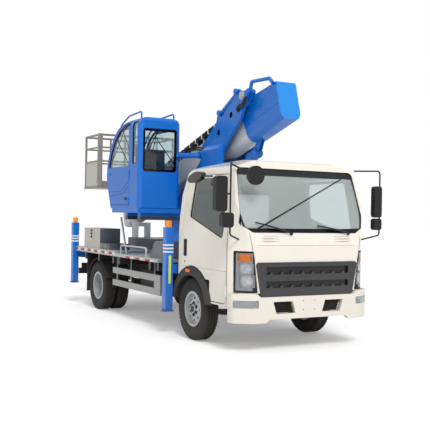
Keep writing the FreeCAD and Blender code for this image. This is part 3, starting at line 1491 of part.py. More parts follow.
def build_cab_inside():
    """Seats on their boxes, and the dashboard with the steering wheel."""
    seats = []
    for y in (seat_y, -seat_y):
        width = seat_width / 2
        base = block(seat_rear_x, seat_rear_x + seat_length, y - width * 0.8, y + width * 0.8, cab_floor_z,
                     seat_base_z)
        cushion = block(seat_rear_x, seat_rear_x + seat_length, y - width, y + width, seat_base_z, seat_top_z,
                        seat_round, "y")
        back = block(seat_rear_x, seat_rear_x + seat_back_wall, y - width, y + width, seat_top_z - seat_round,
                     seat_back_top_z, seat_round, "y")
        seats.append(joined([base, cushion, back]))
    dash = prism([(dash_rear_x, dash_bottom_z), (cab_front_x - cab_wall * 2, dash_bottom_z),
                  (cab_front_x - cab_wall * 2, dash_top_z), (dash_rear_x + dash_slope, dash_top_z),
                  (dash_rear_x, dash_top_z - dash_slope)], "y", -dash_half_width, dash_half_width, dash_slope / 3)
    dash = dash.common(cab_form(cab_wall))
    legs = both(block(dash_rear_x + dash_slope, dash_rear_x + dash_slope * 2, step_well_inner_y - dash_slope,
                      step_well_inner_y, cab_floor_z, dash_bottom_z + dash_slope))
    hub = Vec(wheel_hub_x, wheel_hub_y, wheel_hub_z)
    tilt = math.radians(wheel_tilt)
    axis = Vec(-math.sin(tilt), 0, math.cos(tilt))
    rim = Part.makeTorus(wheel_rim_radius, wheel_rim_tube, hub, axis)
    spokes = [rod(hub, hub + Vec(0, side * wheel_rim_radius, 0), wheel_rim_tube * 0.8) for side in (-1, 1)]
    column = rod(hub + axis * wheel_rim_tube, hub - axis * (dash_slope * 5), wheel_rim_tube * 2)
    save("cab_inside", apart([joined([dash, legs, rim, column] + spokes)] + seats))


def boom_directions():
    """Unit directions along the boom towards its nose, and square to it upwards."""
    slope = math.radians(boom_slope)
    return Vec(math.cos(slope), 0, math.sin(slope)), Vec(-math.sin(slope), 0, math.cos(slope))


def boom_point(u, v, y=0):
    """A place in the boom's own frame, whose origin is the boom's pivot."""
    along, up = boom_directions()
    return Vec(pivot_x, 0, pivot_z) + along * u + up * v + Vec(0, y, 0)


def boom_u_at(x, v):
    """The place along the boom where a line at height v passes over x."""
    along, up = boom_directions()
    return (x - pivot_x - up.x * v) / along.x


def to_boom(shape):
    """Turns a piece drawn level about the pivot onto the boom's slope."""
    placed = shape.copy()
    placed.rotate(Vec(0, 0, 0), Vec(0, 1, 0), -boom_slope)
    placed.translate(Vec(pivot_x, 0, pivot_z))
    return placed


def u_section(start, end, half_width, top, bottom, corner):
    """A boom profile with a flat top and a rounded bottom, drawn level along the boom."""
    points = [(-half_width, top), (half_width, top), (half_width, bottom), (-half_width, bottom)]
    return prism(points, "x", start, end, [boom_top_round, boom_top_round, corner, corner])


def hollow_section(start, end, half_width, top, bottom, corner, wall):
    """A tube of that profile."""
    outer = u_section(start, end, half_width, top, bottom, corner)
    inner = u_section(start - cut_over, end + cut_over, half_width - wall, top - wall, bottom + wall, corner - wall)
    return outer.cut(inner)


def build_boom():
    """Outer section, nose box, hose chain and the moving sections."""
    top = -boom_drop
    bottom = top - boom_height
    half = boom_width / 2
    outer = hollow_section(boom_tail_end, boom_nose_end, half, top, bottom, boom_round, boom_wall)
    collar = hollow_section(boom_tail_end, boom_tail_end + collar_length, half + collar_wall, top + collar_wall,
                            bottom - collar_wall, boom_round + collar_wall, collar_wall + boom_wall / 2)
    base_u, base_v = to_boom_frame(cylinder_base_x, cylinder_base_z)
    eye_u, eye_v = base_u - rod_reach, base_v
    cheeks = []
    for side in (-1, 1):
        near = side * (rod_eye_half + moving_gap)
        far = side * (rod_eye_half + moving_gap + boom_lug_wall)
        cheeks.append(prism([(eye_u - rod_eye_radius * 2.4, bottom + boom_wall), (eye_u - rod_eye_radius, eye_v -
                            rod_eye_radius), (eye_u + rod_eye_radius, eye_v - rod_eye_radius),
                            (eye_u + rod_eye_radius * 2.4, bottom + boom_wall)], "y", min(near, far), max(near, far),
                            [0, rod_eye_radius * 0.8, rod_eye_radius * 0.8, 0]))
    save("boom_base", to_boom(joined([outer, collar] + cheeks)))

    side_points = spread(nose_side_shares, nose_rear, nose_front, nose_bottom, nose_top)
    case = u_section(nose_rear, nose_front, nose_half_width, nose_top, nose_bottom, nose_round)
    case = case.common(prism(side_points, "y", -nose_half_width - cut_over, nose_half_width + cut_over))
    crease = spread(nose_crease_shares, nose_rear, nose_front, nose_bottom, nose_top)
    groove = [crease[0], crease[1], (crease[1][0], crease[1][1] + nose_crease_height),
              (crease[0][0], crease[0][1] + nose_crease_height)]
    groove = prism(groove, "y", nose_half_width - nose_crease_depth, nose_half_width + cut_over)
    room = u_section(nose_rear - cut_over, boom_nose_end, half, top, bottom, boom_round)
    size = pivot_boss_radius
    ear = prism([(a * size, b * size) for a, b in ear_shares], "y", nose_half_width - nose_end_wall, ear_reach,
                [size * 0.5] * len(ear_shares))
    bore = disc("y", 0, 0, -turret_plate_inner_y, turret_plate_inner_y, pivot_pin_radius + seat_gap)
    nose = joined([case, both(ear)]).cut([room, bore, both(groove)])
    side = nose_half_width + ear_reach
    rail = [Vec(nose_front * a, -side / 2, size * b) for a, b in handle_path_shares]
    guard = bent_tube(rail, hose_guard_radius, hose_guard_radius * 1.6)
    nose = joined([nose, guard.cut([room, bore])])
    nose = sorted(nose.Solids, key=lambda solid: solid.Volume)[-1]
    save("boom_nose", to_boom(nose))

    chain = []
    tray = top + chain_lift
    base = tray + chain_tray
    low_y = chain_y - chain_width / 2
    high_y = chain_y + chain_width / 2
    run_end = chain_start - chain_pitch * chain_count
    chain.append(block(run_end, chain_start, chain_y - chain_web / 2, chain_y + chain_web / 2, top, tray))
    chain.append(block(run_end, chain_start, low_y, high_y, tray, base))
    core = chain_height * chain_core_share
    chain.append(block(run_end, chain_start, low_y + chain_tray, high_y - chain_tray, base, base + core))
    for i in range(chain_count):
        start = chain_start - chain_pitch * i - (chain_pitch - chain_link) / 2
        chain.append(block(start - chain_link, start, low_y, high_y, base, base + chain_height, chain_tray, "y"))
    save("hose_chain", to_boom(joined(chain)))

    for i in range(1, section_count + 1):
        inset_depth = section_step * i
        start = boom_tail_end - section_tail_step * i
        end = boom_nose_end - nose_end_wall - section_start_step * i
        section_top = top - inset_depth
        section_bottom = bottom + inset_depth
        section_half = half - inset_depth
        corner = boom_round - inset_depth * 0.9
        tube = hollow_section(start, end, section_half, section_top, section_bottom, corner, section_wall)
        head = hollow_section(start, start + section_tail_step * 0.6, section_half + section_step * 0.8,
                              section_top + section_step * 0.8, section_bottom - section_step * 0.8,
                              corner + section_step * 0.8, section_step * 0.8 + section_wall / 2)
        outer_wall = boom_wall if i == 1 else section_wall
        room = section_step - outer_wall - seat_gap
        pad = hollow_section(end - section_start_step, end, section_half + room, section_top + room,
                             section_bottom - room, corner + room, room + section_wall / 2)
        pieces = [tube, head, pad]
        if i == section_count:
            tip_end = level_pivot_u - level_ear_radius
            pieces.append(hollow_section(tip_end, start + section_wall, section_half, section_top, section_bottom,
                                         corner, section_wall))
            pieces.append(u_section(tip_end, tip_end + section_wall, section_half, section_top, section_bottom,
                                    corner))
            for side in (-1, 1):
                near = side * section_half
                far = side * (section_half - tip_ear_wall)
                ear = prism([(level_pivot_u - level_ear_radius, section_top - level_ear_radius),
                             (level_pivot_u + level_ear_radius * 0.8, section_top - level_ear_radius),
                             (level_pivot_u + level_ear_radius * 0.8, level_pivot_v + level_ear_radius * 0.6),
                             (level_pivot_u - level_ear_radius, level_pivot_v + level_ear_radius * 0.6)], "y",
                            min(near, far), max(near, far), [0, 0, level_ear_radius * 0.5, level_ear_radius * 0.5])
                pieces.append(ear)
            pieces.append(disc("y", level_pivot_u, level_pivot_v, -section_half, section_half, level_pin_radius))
        save("boom_section_" + str(i), to_boom(joined(pieces)))


def to_boom_frame(x, z):
    """A place of the truck in the boom's own frame."""
    along, up = boom_directions()
    offset = Vec(x - pivot_x, 0, z - pivot_z)
    return offset.dot(along), offset.dot(up)


def build_turret():
    """Leaning side plates on the turntable disc, webs, pivot pin, side box, levelling cylinder and the cab's arms."""
    top = turret_base_z + turret_disc_height
    floor = disc("z", slew_x, 0, turret_base_z, top, turret_disc_radius)
    points = spread(turret_plate_shares, plate_rear_x, plate_front_x, top, plate_top_z)
    inner = turret_plate_inner_y
    outer = inner + turret_plate_wall
    plate = prism(points, "y", inner, outer, softened(turret_plate_round_shares, plate_top_z - top, 0))
    places = spread(plate_hole_shares, plate_rear_x, plate_front_x, top, plate_top_z)
    holes = [disc("y", a, b, inner + plate_hole_back, outer + cut_over, plate_hole_small) for a, b in places]
    plate = plate.cut(holes)
    pin = disc("y", pivot_x, pivot_z, -outer - pivot_pin_over, outer + pivot_pin_over, pivot_pin_radius)
    collar = disc("y", pivot_x, pivot_z, outer, outer + pivot_pin_over / 2, pivot_pin_radius * 1.5)
    front_low, front_high = points[0], points[1]
    web_share = 0.72
    run = (front_high[0] - front_low[0], front_high[1] - front_low[1])
    length = math.hypot(run[0], run[1])
    normal = (-run[1] / length * web_wall, run[0] / length * web_wall)
    web_end = (front_low[0] + run[0] * web_share, front_low[1] + run[1] * web_share)
    front_web = prism([front_low, web_end, (web_end[0] + normal[0], web_end[1] + normal[1]),
                       (front_low[0] + normal[0], front_low[1] + normal[1])], "y", -inner, inner)
    rear_low, rear_high = points[-2], points[-3]
    back = (rear_high[0] - rear_low[0], rear_high[1] - rear_low[1])
    back_share = 0.35
    rear_end = (rear_low[0] + back[0] * back_share, rear_low[1] + back[1] * back_share)
    rear_web = prism([rear_low, rear_end, (rear_end[0] + web_wall * 2, rear_end[1]),
                      (rear_low[0] + web_wall * 2, rear_low[1])], "y", -inner, inner)
    cylinder_pin = disc("y", cylinder_base_x, cylinder_base_z, -inner, inner, lug_pin_radius)
    stay_y = -outer - stay_tube_radius
    stay = rod(Vec(op_back_x, op_inner_y - stay_tube_radius, stay_tube_rear_z),
               Vec(stay_tube_front_x, stay_y, stay_tube_front_z), stay_tube_radius).cut(op_form(0))
    clevis = disc("y", stay_tube_front_x, stay_tube_front_z, stay_y - stay_tube_radius, -outer, stay_clevis_radius)
    side_box = prism([(-outer, side_box_top_z), (-outer - side_box_reach, side_box_top_z - side_box_slope),
                      (-outer - side_box_reach, side_box_bottom_z), (-outer, side_box_bottom_z)], "x",
                     side_box_rear_x, side_box_front_x)
    arm_low = op_floor_z - op_base_height
    arms = []
    for x in (slew_x - turret_disc_radius * 0.6, slew_x + turret_disc_radius * 0.45):
        arms.append(block(x, x + arm_frame_height * 1.6, op_outer_y + arm_frame_height, 0, turret_base_z, arm_low))
    base = block(slew_x - turret_disc_radius * 1.45, op_back_x, op_outer_y + seat_gap, op_inner_y, arm_low, op_floor_z)
    level_y = (inner + outer) / 2
    low_eye = Vec(level_low[0], -level_y, level_low[1])
    high_eye = Vec(level_high[0], -level_y, level_high[1])
    level = joined([rod(low_eye, high_eye, level_tube_radius),
                    disc("y", low_eye.x, low_eye.z, -outer - level_eye_radius, -inner, level_eye_radius),
                    disc("y", high_eye.x, high_eye.z, -outer - level_eye_radius, -inner, level_eye_radius)])
    save("turret", fitted([plate, mirrored(plate), floor, pin, collar, mirrored(collar), front_web, rear_web,
                           cylinder_pin, base] + arms + [side_box, clevis, stay, level]))

    base_place = Vec(cylinder_base_x, 0, cylinder_base_z)
    eye_place = base_place - boom_directions()[0] * rod_reach
    towards = unit(eye_place - base_place)
    barrel = rod(base_place + towards * barrel_eye_radius * 0.5, base_place + towards * barrel_length, barrel_radius)
    eye = disc("y", base_place.x, base_place.z, -barrel_eye_half, barrel_eye_half, barrel_eye_radius)
    pin_bore = disc("y", base_place.x, base_place.z, -inner, inner, lug_pin_radius + seat_gap)
    rod_bore = rod(base_place + towards * barrel_eye_radius * 2, base_place + towards * (barrel_length + cut_over),
                   rod_radius + seat_gap)
    save("lift_barrel", joined([barrel, eye]).cut([pin_bore, rod_bore]))
    shaft = rod(base_place + towards * barrel_eye_radius * 2.5, eye_place, rod_radius)
    rod_eye = disc("y", eye_place.x, eye_place.z, -rod_eye_half, rod_eye_half, rod_eye_radius)
    save("lift_rod", joined([shaft, rod_eye]))


def op_form(depth):
    """The operator's cab moved inwards by depth: its side outline, with the long corners rounded."""
    side = inset(spread(op_side_shares, op_back_x, op_front_x, op_floor_z, op_roof_z), depth)
    height = op_roof_z - op_floor_z
    body = prism(side, "y", op_outer_y - cut_over, op_inner_y + cut_over, softened(op_side_round_shares, height, depth))
    roof = op_roof_z - depth + plan_clear
    front = [(op_outer_y + depth, op_floor_z - cut_over), (op_inner_y - depth, op_floor_z - cut_over),
             (op_inner_y - depth, roof), (op_outer_y + depth, roof)]
    round_top = max(op_front_rounds - depth, least_round)
    body = body.common(prism(front, "x", op_front_x - cut_over, op_back_x + cut_over, [0, 0, round_top, round_top]))
    back = op_back_x - depth + plan_clear
    plan = [(op_front_x - cut_over, op_outer_y - plan_clear + depth), (back, op_outer_y - plan_clear + depth),
            (back, op_inner_y + plan_clear - depth), (op_front_x - cut_over, op_inner_y + plan_clear - depth)]
    round_back = max(op_back_round - depth, least_round)
    return body.common(prism(plan, "z", op_floor_z - cut_over, op_roof_z + cut_over, [0, round_back, round_back, 0]))


def op_side_at(z):
    """How far the operator's cab reaches towards the rear at a height."""
    points = spread(op_side_shares, op_back_x, op_front_x, op_floor_z, op_roof_z)
    for i in range(2, len(points) - 1):
        (ax, az), (bx, bz) = points[i], points[i + 1]
        if bz <= z <= az:
            return ax + (bx - ax) * (z - az) / (bz - az)
    return points[-1][0]


def build_operator_cab():
    """The hollow operator's cab with its glass, door, rails, seat and console."""
    outer = op_form(0)
    inner = op_form(op_wall)
    shell = outer.cut(inner)
    side = spread(op_side_shares, op_back_x, op_front_x, op_floor_z, op_roof_z)
    frame = inset(side, op_door_frame)
    height = op_roof_z - op_floor_z
    rounds = softened(op_side_round_shares, height, op_door_frame)
    low = op_outer_y - cut_over
    high = op_outer_y + op_wall * 2.5
    side_form = prism(frame, "y", low, high, rounds)
    gap = op_door_gap
    door_low = op_floor_z + (op_roof_z - op_floor_z) * op_door_low_share
    opening = prism(inset(side, op_wall * 0.7), "y", low, op_outer_y + op_wall,
                    softened(op_side_round_shares, height, op_wall * 0.7)).common(
        block(op_front_x, op_door_rear_x, low, op_outer_y + op_wall, door_low, op_roof_z))
    leaf = prism(inset(side, op_wall * 0.7 + gap), "y", op_outer_y, op_outer_y + op_door_wall,
                 softened(op_side_round_shares, height, op_wall * 0.7 + gap)).common(
        block(op_front_x, op_door_rear_x - gap, op_outer_y, op_outer_y + op_door_wall, door_low + gap, op_roof_z))
    window = side_form.common(block(op_front_x, op_door_rear_x - op_door_frame * 0.5, low, high, op_door_window_z,
                                    op_roof_z))
    leaf = leaf.common(outer)
    door = leaf.cut(window)
    quarter = block(quarter_front_x, quarter_rear_x, low, high, quarter_bottom_z, quarter_top_z,
                    op_window_round / 2, "y").common(side_form)
    back_window = block(op_back_x - op_wall * 2, op_back_x + cut_over, op_outer_y + op_back_inset,
                        op_inner_y - op_back_inset, op_back_low_z, op_back_high_z, op_window_round, "x")
    inner_window = block(op_front_x + op_door_frame * 3, op_back_x - op_door_frame * 2, op_inner_y - op_wall * 2,
                         op_inner_y + cut_over, op_door_window_z, op_roof_z - op_door_frame * 2.4,
                         op_window_round, "y")
    screen = block(op_front_x - cut_over, op_door_rear_x - op_door_frame * 1.5, op_outer_y + op_window_inset,
                   op_inner_y - op_window_inset, op_screen_low_z, op_screen_high_z)
    screen = screen.cut(prism(inset(side, op_wall + moving_gap), "y", low, op_inner_y + cut_over,
                              softened(op_side_round_shares, height, op_wall + moving_gap)))
    roof_keep = block(op_door_rear_x - op_door_frame * 3, op_back_x, op_outer_y, op_inner_y, op_screen_low_z,
                      op_roof_z + cut_over)
    screen = screen.cut(roof_keep)
    hinge_x = op_door_rear_x - gap / 2
    hinge_y = op_outer_y - hinge_out
    heights = (op_hinge_low_z, op_hinge_high_z)
    shell = shell.cut([opening.common(outer), quarter, back_window, inner_window, screen])
    for z in heights:
        door = door.cut(hinge_room(hinge_x, hinge_y, z, hinge_length / 2, hinge_radius, True))
        door = door.fuse(hinge(hinge_x, hinge_y, z, hinge_length / 2, hinge_radius, False))
        shell = shell.cut(hinge_room(hinge_x, hinge_y, z, hinge_length / 2, hinge_radius, False))
        shell = shell.fuse(hinge(hinge_x, hinge_y, z, hinge_length / 2, hinge_radius, True))
    body = sorted(shell.Solids, key=lambda solid: solid.Volume)[-1]
    rails = []
    outline = inset(side, -op_rail_off)
    for y in (op_outer_y + op_rail_inset, op_inner_y - op_rail_inset):
        path = [Vec(op_rail_start_x, y, op_roof_z - op_wall / 2), Vec(op_rail_start_x, y, op_roof_z + op_rail_off)]
        path += [Vec(outline[i][0], y, outline[i][1]) for i in (3, 4, 5, 6)]
        path.append(Vec(side[7][0] + op_wall / 2, y, side[7][1] + op_wall * 2))
        rails.append(bent_tube(path, op_rail_radius, op_rail_radius * 3))
    grown = joined([body] + [rail.cut(inner) for rail in rails])
    save("operator_cab", sorted(grown.Solids, key=lambda solid: solid.Volume)[-1])
    handle = block(op_side_at(op_handle_z) + op_door_frame * 0.9, op_side_at(op_handle_z) + op_door_frame * 0.9
                   + op_handle_length, op_outer_y - op_handle_height / 2, op_outer_y + op_handle_height,
                   op_handle_z - op_handle_height / 2, op_handle_z + op_handle_height / 2)
    door = joined([door, handle])
    save("operator_door", sorted(door.Solids, key=lambda solid: solid.Volume)[-1])
    set_in = op_wall * 0.35
    skin = op_form(set_in).cut(op_form(set_in + op_glass_wall))
    panes = [skin.common(cutter) for cutter in (quarter, back_window, inner_window, screen)]
    save("operator_glass", apart(panes))
    pane = block(op_front_x, op_door_rear_x, op_outer_y + set_in, op_outer_y + set_in + op_glass_wall,
                 op_floor_z, op_roof_z).common(window)
    save("operator_door_glass", pane)

    mid_y = (op_outer_y + op_inner_y) / 2
    width = op_seat_width / 2
    base = block(op_seat_x - op_seat_length * 0.3, op_seat_x + op_seat_length * 0.3, mid_y - width * 0.6,
                 mid_y + width * 0.6, op_floor_z + op_wall, op_seat_z)
    cushion = block(op_seat_x - op_seat_length / 2, op_seat_x + op_seat_length / 2, mid_y - width, mid_y + width,
                    op_seat_z, op_seat_z + op_seat_wall, seat_round, "y")
    back = block(op_seat_x + op_seat_length / 2 - op_seat_wall, op_seat_x + op_seat_length / 2, mid_y - width,
                 mid_y + width, op_seat_z + seat_round, op_seat_z + op_seat_back, seat_round, "y")
    console = block(op_console_x, op_console_x + op_console_depth, mid_y - op_console_width / 2,
                    mid_y + op_console_width / 2, op_floor_z + op_wall, op_floor_z + op_console_height, seat_round / 2,
                    "y")
    save("operator_seat", apart([joined([base, cushion, back]), console]))


def build_basket():
    """The levelled mount with its rotary drive, and the basket on it."""
    pivot = boom_point(level_pivot_u, level_pivot_v)
    tip_half = boom_width / 2 - section_step * section_count
    inner = tip_half + seat_gap
    outer = inner + mount_cheek_wall
    plate_top = basket_floor_z - mount_top_gap
    plate_low = plate_top - mount_plate_wall
    radius = level_ear_radius * 0.8
    cheek_points = [(pivot.x - radius, pivot.z - radius * 0.8), (pivot.x + radius, pivot.z - radius * 0.8),
                    (basket_swing_x + swing_radius, plate_low), (pivot.x - radius * 1.3, plate_low)]
    cheek = prism(cheek_points, "y", inner, outer, [radius * 0.7, radius * 0.7, 0, 0])
    bore = disc("y", pivot.x, pivot.z, -outer - cut_over, outer + cut_over, level_pin_radius + seat_gap)
    stub = disc("y", pivot.x, pivot.z, inner, outer + mount_cheek_wall, level_pin_radius)
    plate = block(pivot.x - radius * 1.3, basket_swing_x + swing_radius, -outer, outer, plate_low, plate_top)
    drive = disc("z", basket_swing_x, 0, plate_top, basket_floor_z - seat_gap, swing_radius)
    save("basket_mount", joined([both(cheek), plate, drive, both(stub)]))

    tube = basket_tube
    x0 = basket_rear_x + tube
    x1 = basket_front_x - tube
    y0 = -basket_half_width + tube
    y1 = basket_half_width - tube
    top = basket_top_z - tube
    pieces = [block(basket_rear_x, basket_front_x, -basket_half_width, basket_half_width, basket_floor_z,
                    basket_floor_z + basket_floor_wall)]
    for x in (x0, x1):
        for share in basket_post_y_share:
            pieces.append(disc("z", x, y1 * share, basket_floor_z + basket_floor_wall, top, tube))
    for z in (basket_panel_top_z, basket_mid_z, top):
        for x in (x0, x1):
            pieces.append(disc("y", x, z, y0, y1, tube if z == top else tube * 0.8))
        for y in (y0, y1):
            pieces.append(disc("x", y, z, x0, x1, tube if z == top else tube * 0.8))
    wall = basket_panel_wall
    kick_top = basket_floor_z + basket_kick
    pieces.append(block(x0, x1, y0 - wall / 2, y0 + wall / 2, basket_floor_z, basket_panel_top_z))
    pieces.append(block(x0, x1, y1 - wall / 2, y1 + wall / 2, basket_floor_z, kick_top))
    pieces.append(block(x0 - wall / 2, x0 + wall / 2, y0, y1, basket_floor_z, kick_top))
    pieces.append(block(x1 - wall / 2, x1 + wall / 2, y0, y1, basket_floor_z, kick_top))
    mast = block(basket_front_x - basket_mast_width, basket_front_x, -basket_half_width, -basket_half_width +
                 basket_mast_width * 0.7, basket_floor_z, basket_top_z)
    pieces.append(mast)
    box = block(x1 - control_box_depth, x1, -control_box_width / 2, control_box_width / 2,
                basket_mid_z - control_box_height / 2, basket_mid_z + control_box_height / 2)
    pieces.append(box)
    save("basket", joined(pieces))


def main():
    os.makedirs("parts", exist_ok=True)
    build_wheels()
    build_axles()
    build_chassis()
    build_subframe()
    build_outriggers()
    build_deck_fittings()
    build_side_gear()
    build_cab()
    build_turret()
    build_operator_cab()
    build_boom()
    build_basket()


main()
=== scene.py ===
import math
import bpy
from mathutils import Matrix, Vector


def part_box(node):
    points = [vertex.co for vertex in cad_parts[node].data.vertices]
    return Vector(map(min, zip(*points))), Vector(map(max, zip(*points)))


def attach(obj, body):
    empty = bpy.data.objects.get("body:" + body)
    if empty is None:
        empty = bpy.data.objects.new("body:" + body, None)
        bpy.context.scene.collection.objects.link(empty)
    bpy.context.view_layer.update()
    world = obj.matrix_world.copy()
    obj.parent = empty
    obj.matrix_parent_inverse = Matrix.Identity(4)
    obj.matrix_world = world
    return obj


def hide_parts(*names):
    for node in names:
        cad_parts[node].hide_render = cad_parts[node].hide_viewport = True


bl_info = {
    "name": "Cherry picker truck",
    "version": (1, 0, 0),
    "blender": (4, 5, 0),
    "location": "3D View > Sidebar > Truck",
    "description": "Finishes and fittings for a light truck with a slewing boom and a work basket",
    "category": "Object",
}

import bmesh
import bpy
from mathutils import Matrix, Vector
from mathutils.bvhtree import BVHTree

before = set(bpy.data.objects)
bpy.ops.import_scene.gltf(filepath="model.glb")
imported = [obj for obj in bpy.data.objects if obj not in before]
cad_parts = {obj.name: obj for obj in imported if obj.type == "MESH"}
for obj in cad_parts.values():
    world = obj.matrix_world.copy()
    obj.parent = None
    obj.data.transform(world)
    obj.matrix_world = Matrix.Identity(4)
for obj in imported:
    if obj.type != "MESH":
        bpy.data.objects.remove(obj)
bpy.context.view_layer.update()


def middle(node):
    """The centre of a CAD node's box at rest."""
    low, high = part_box(node)
    return (Vector(low) + Vector(high)) / 2


def rgb(red, green, blue):
    """A screen colour from 0 to 255 as linear red, green, blue and alpha."""
    def linear(value):
        share = value / 255
        return share / 12.92 if share <= 0.04045 else ((share + 0.055) / 1.055) ** 2.4
    return (linear(red), linear(green), linear(blue), 1.0)


axle = middle("front_tyre_left")
tyre_low, tyre_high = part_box("front_tyre_left")
tyre_radius = (tyre_high[2] - tyre_low[2]) / 2
tyre_width = tyre_high[1] - tyre_low[1]
rear_axle_x = middle("rear_tyres_left").x
datum_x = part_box("chassis_frame")[1][0] - 1.0
boom_slope = math.radians(16.3)


def place(x, y, z):
    """A place measured from a metre behind the chassis rails' front end, in the row frame."""
    return Vector((datum_x + x, y, z))


class TruckColours(bpy.types.PropertyGroup):
    """Colours of the paints and materials."""
    cab: bpy.props.FloatVectorProperty(name="Cab paint", description="Cream white of the truck's cab",
                                       default=rgb(238, 232, 220), size=4, subtype="COLOR", min=0, max=1)
    blue: bpy.props.FloatVectorProperty(name="Platform blue", description="Blue of the turret, jacks and cab",
                                        default=rgb(0, 110, 208), size=4, subtype="COLOR", min=0, max=1)
    boom: bpy.props.FloatVectorProperty(name="Boom grey", description="Light grey of the boom sections",
                                        default=rgb(206, 209, 212), size=4, subtype="COLOR", min=0, max=1)
    deck: bpy.props.FloatVectorProperty(name="Deck metal", description="Bare metal of the deck's edge",
                                        default=rgb(196, 200, 200), size=4, subtype="COLOR", min=0, max=1)
    dust: bpy.props.FloatVectorProperty(name="Dust", description="Road dust that gathers low on the truck",
                                        default=rgb(150, 142, 128), size=4, subtype="COLOR", min=0, max=1)
    rim: bpy.props.FloatVectorProperty(name="Rim silver", description="Silver of the wheel rims",
                                       default=rgb(196, 200, 202), size=4, subtype="COLOR", min=0, max=1)


class TruckSizes(bpy.types.PropertyGroup):
    """Sizes of the fittings."""
    tread_depth: bpy.props.FloatProperty(name="Tread depth", description="Depth of the tyres' grooves",
                                         default=0.011, min=0.002, max=0.03, unit="LENGTH")
    tread_steps: bpy.props.IntProperty(name="Tread steps", description="Steps round a tyre's tread",
                                       default=96, min=48, max=192)
    nut_radius: bpy.props.FloatProperty(name="Wheel nut radius", description="Half width of a wheel nut",
                                        default=0.016, min=0.005, max=0.05, unit="LENGTH")
    gasket: bpy.props.FloatProperty(name="Gasket radius", description="Half thickness of a window's rubber",
                                    default=0.007, min=0.002, max=0.02, unit="LENGTH")
    peel: bpy.props.FloatProperty(name="Paint ripple", description="Height of the paint's fine ripple",
                                  default=0.02, min=0.0, max=1.0, subtype="FACTOR")


def node(tree, kind, inputs=None, **settings):
    """A new node with its settings, and its inputs set or linked."""
    made = tree.nodes.new(kind)
    for key, value in settings.items():
        setattr(made, key, value)
    for key, value in (inputs or {}).items():
        if isinstance(value, bpy.types.NodeSocket):
            tree.links.new(value, made.inputs[key])
        else:
            made.inputs[key].default_value = value
    return made


def calc(tree, operation, first, second=0.0):
    """One step of arithmetic."""
    return node(tree, "ShaderNodeMath", {0: first, 1: second}, operation=operation).outputs[0]


def blend_colour(tree, factor, first, second):
    """A mix of two colours."""
    return node(tree, "ShaderNodeMix", {0: factor, 6: first, 7: second}, data_type="RGBA").outputs[2]


def group(name, inputs, outputs):
    """A new shader group with named sockets."""
    tree = bpy.data.node_groups.new(name, "ShaderNodeTree")
    for label, kind in inputs:
        tree.interface.new_socket(label, in_out="INPUT", socket_type=kind)
    for label, kind in outputs:
        tree.interface.new_socket(label, in_out="OUTPUT", socket_type=kind)
    return tree, tree.nodes.new("NodeGroupInput"), tree.nodes.new("NodeGroupOutput")


def weathering():
    """Group that gives a colour slight variation and dust low down, and roughness to match."""
    name = "Weathering"
    if name in bpy.data.node_groups:
        return bpy.data.node_groups[name]
    tree, start, end = group(name, [("Color", "NodeSocketColor"), ("Dust", "NodeSocketColor"),
                                    ("Amount", "NodeSocketFloat"), ("Dust height", "NodeSocketFloat"),
                                    ("Roughness", "NodeSocketFloat")],
                             [("Color", "NodeSocketColor"), ("Roughness", "NodeSocketFloat")])
    spot = node(tree, "ShaderNodeTexCoord").outputs["Object"]
    parts = node(tree, "ShaderNodeSeparateXYZ", {0: spot})
    broad = node(tree, "ShaderNodeTexNoise", {"Vector": spot, "Scale": 1.7, "Detail": 5.0, "Roughness": 0.6})
    fine = node(tree, "ShaderNodeTexNoise", {"Vector": spot, "Scale": 38.0, "Detail": 4.0, "Roughness": 0.7})
    low = calc(tree, "DIVIDE", parts.outputs[2], start.outputs["Dust height"])
    low = calc(tree, "SUBTRACT", 1.0, low)
    low = calc(tree, "MAXIMUM", low, 0.04)
    speckle = calc(tree, "MULTIPLY", broad.outputs[0], calc(tree, "ADD", fine.outputs[0], 0.4))
    mask = calc(tree, "MULTIPLY", calc(tree, "MULTIPLY", low, speckle), start.outputs["Amount"])
    mask = calc(tree, "MINIMUM", mask, 0.85)
    tone = calc(tree, "ADD", calc(tree, "MULTIPLY", broad.outputs[0], 0.10), 0.95)
    toned = node(tree, "ShaderNodeVectorMath", {0: start.outputs["Color"], 3: tone}, operation="SCALE").outputs[0]
    tree.links.new(blend_colour(tree, mask, toned, start.outputs["Dust"]), end.inputs["Color"])
    rough = calc(tree, "ADD", start.outputs["Roughness"], calc(tree, "MULTIPLY", mask, 0.5))
    rough = calc(tree, "ADD", rough, calc(tree, "MULTIPLY", calc(tree, "SUBTRACT", fine.outputs[0], 0.5), 0.08))
    tree.links.new(calc(tree, "MAXIMUM", rough, 0.05), end.inputs["Roughness"])
    return tree


def grain():
    """Group that gives a fine height for a Bump node."""
    name = "Surface grain"
    if name in bpy.data.node_groups:
        return bpy.data.node_groups[name]
    tree, start, end = group(name, [("Scale", "NodeSocketFloat")], [("Height", "NodeSocketFloat")])
    spot = node(tree, "ShaderNodeTexCoord").outputs["Object"]
    coarse = node(tree, "ShaderNodeTexNoise", {"Vector": spot, "Scale": start.outputs[0], "Detail": 3.0})
    tree.links.new(coarse.outputs[0], end.inputs[0])
    return tree


def band(tree, parts, limits):
    """A mask of one where the position is within the limits of each axis, side being the distance from the middle."""
    mask = None
    for key, (low, high) in limits.items():
        value = parts[key]
        step = calc(tree, "MULTIPLY", calc(tree, "GREATER_THAN", value, low), calc(tree, "LESS_THAN", value, high))
        mask = step if mask is None else calc(tree, "MULTIPLY", mask, step)
    return mask


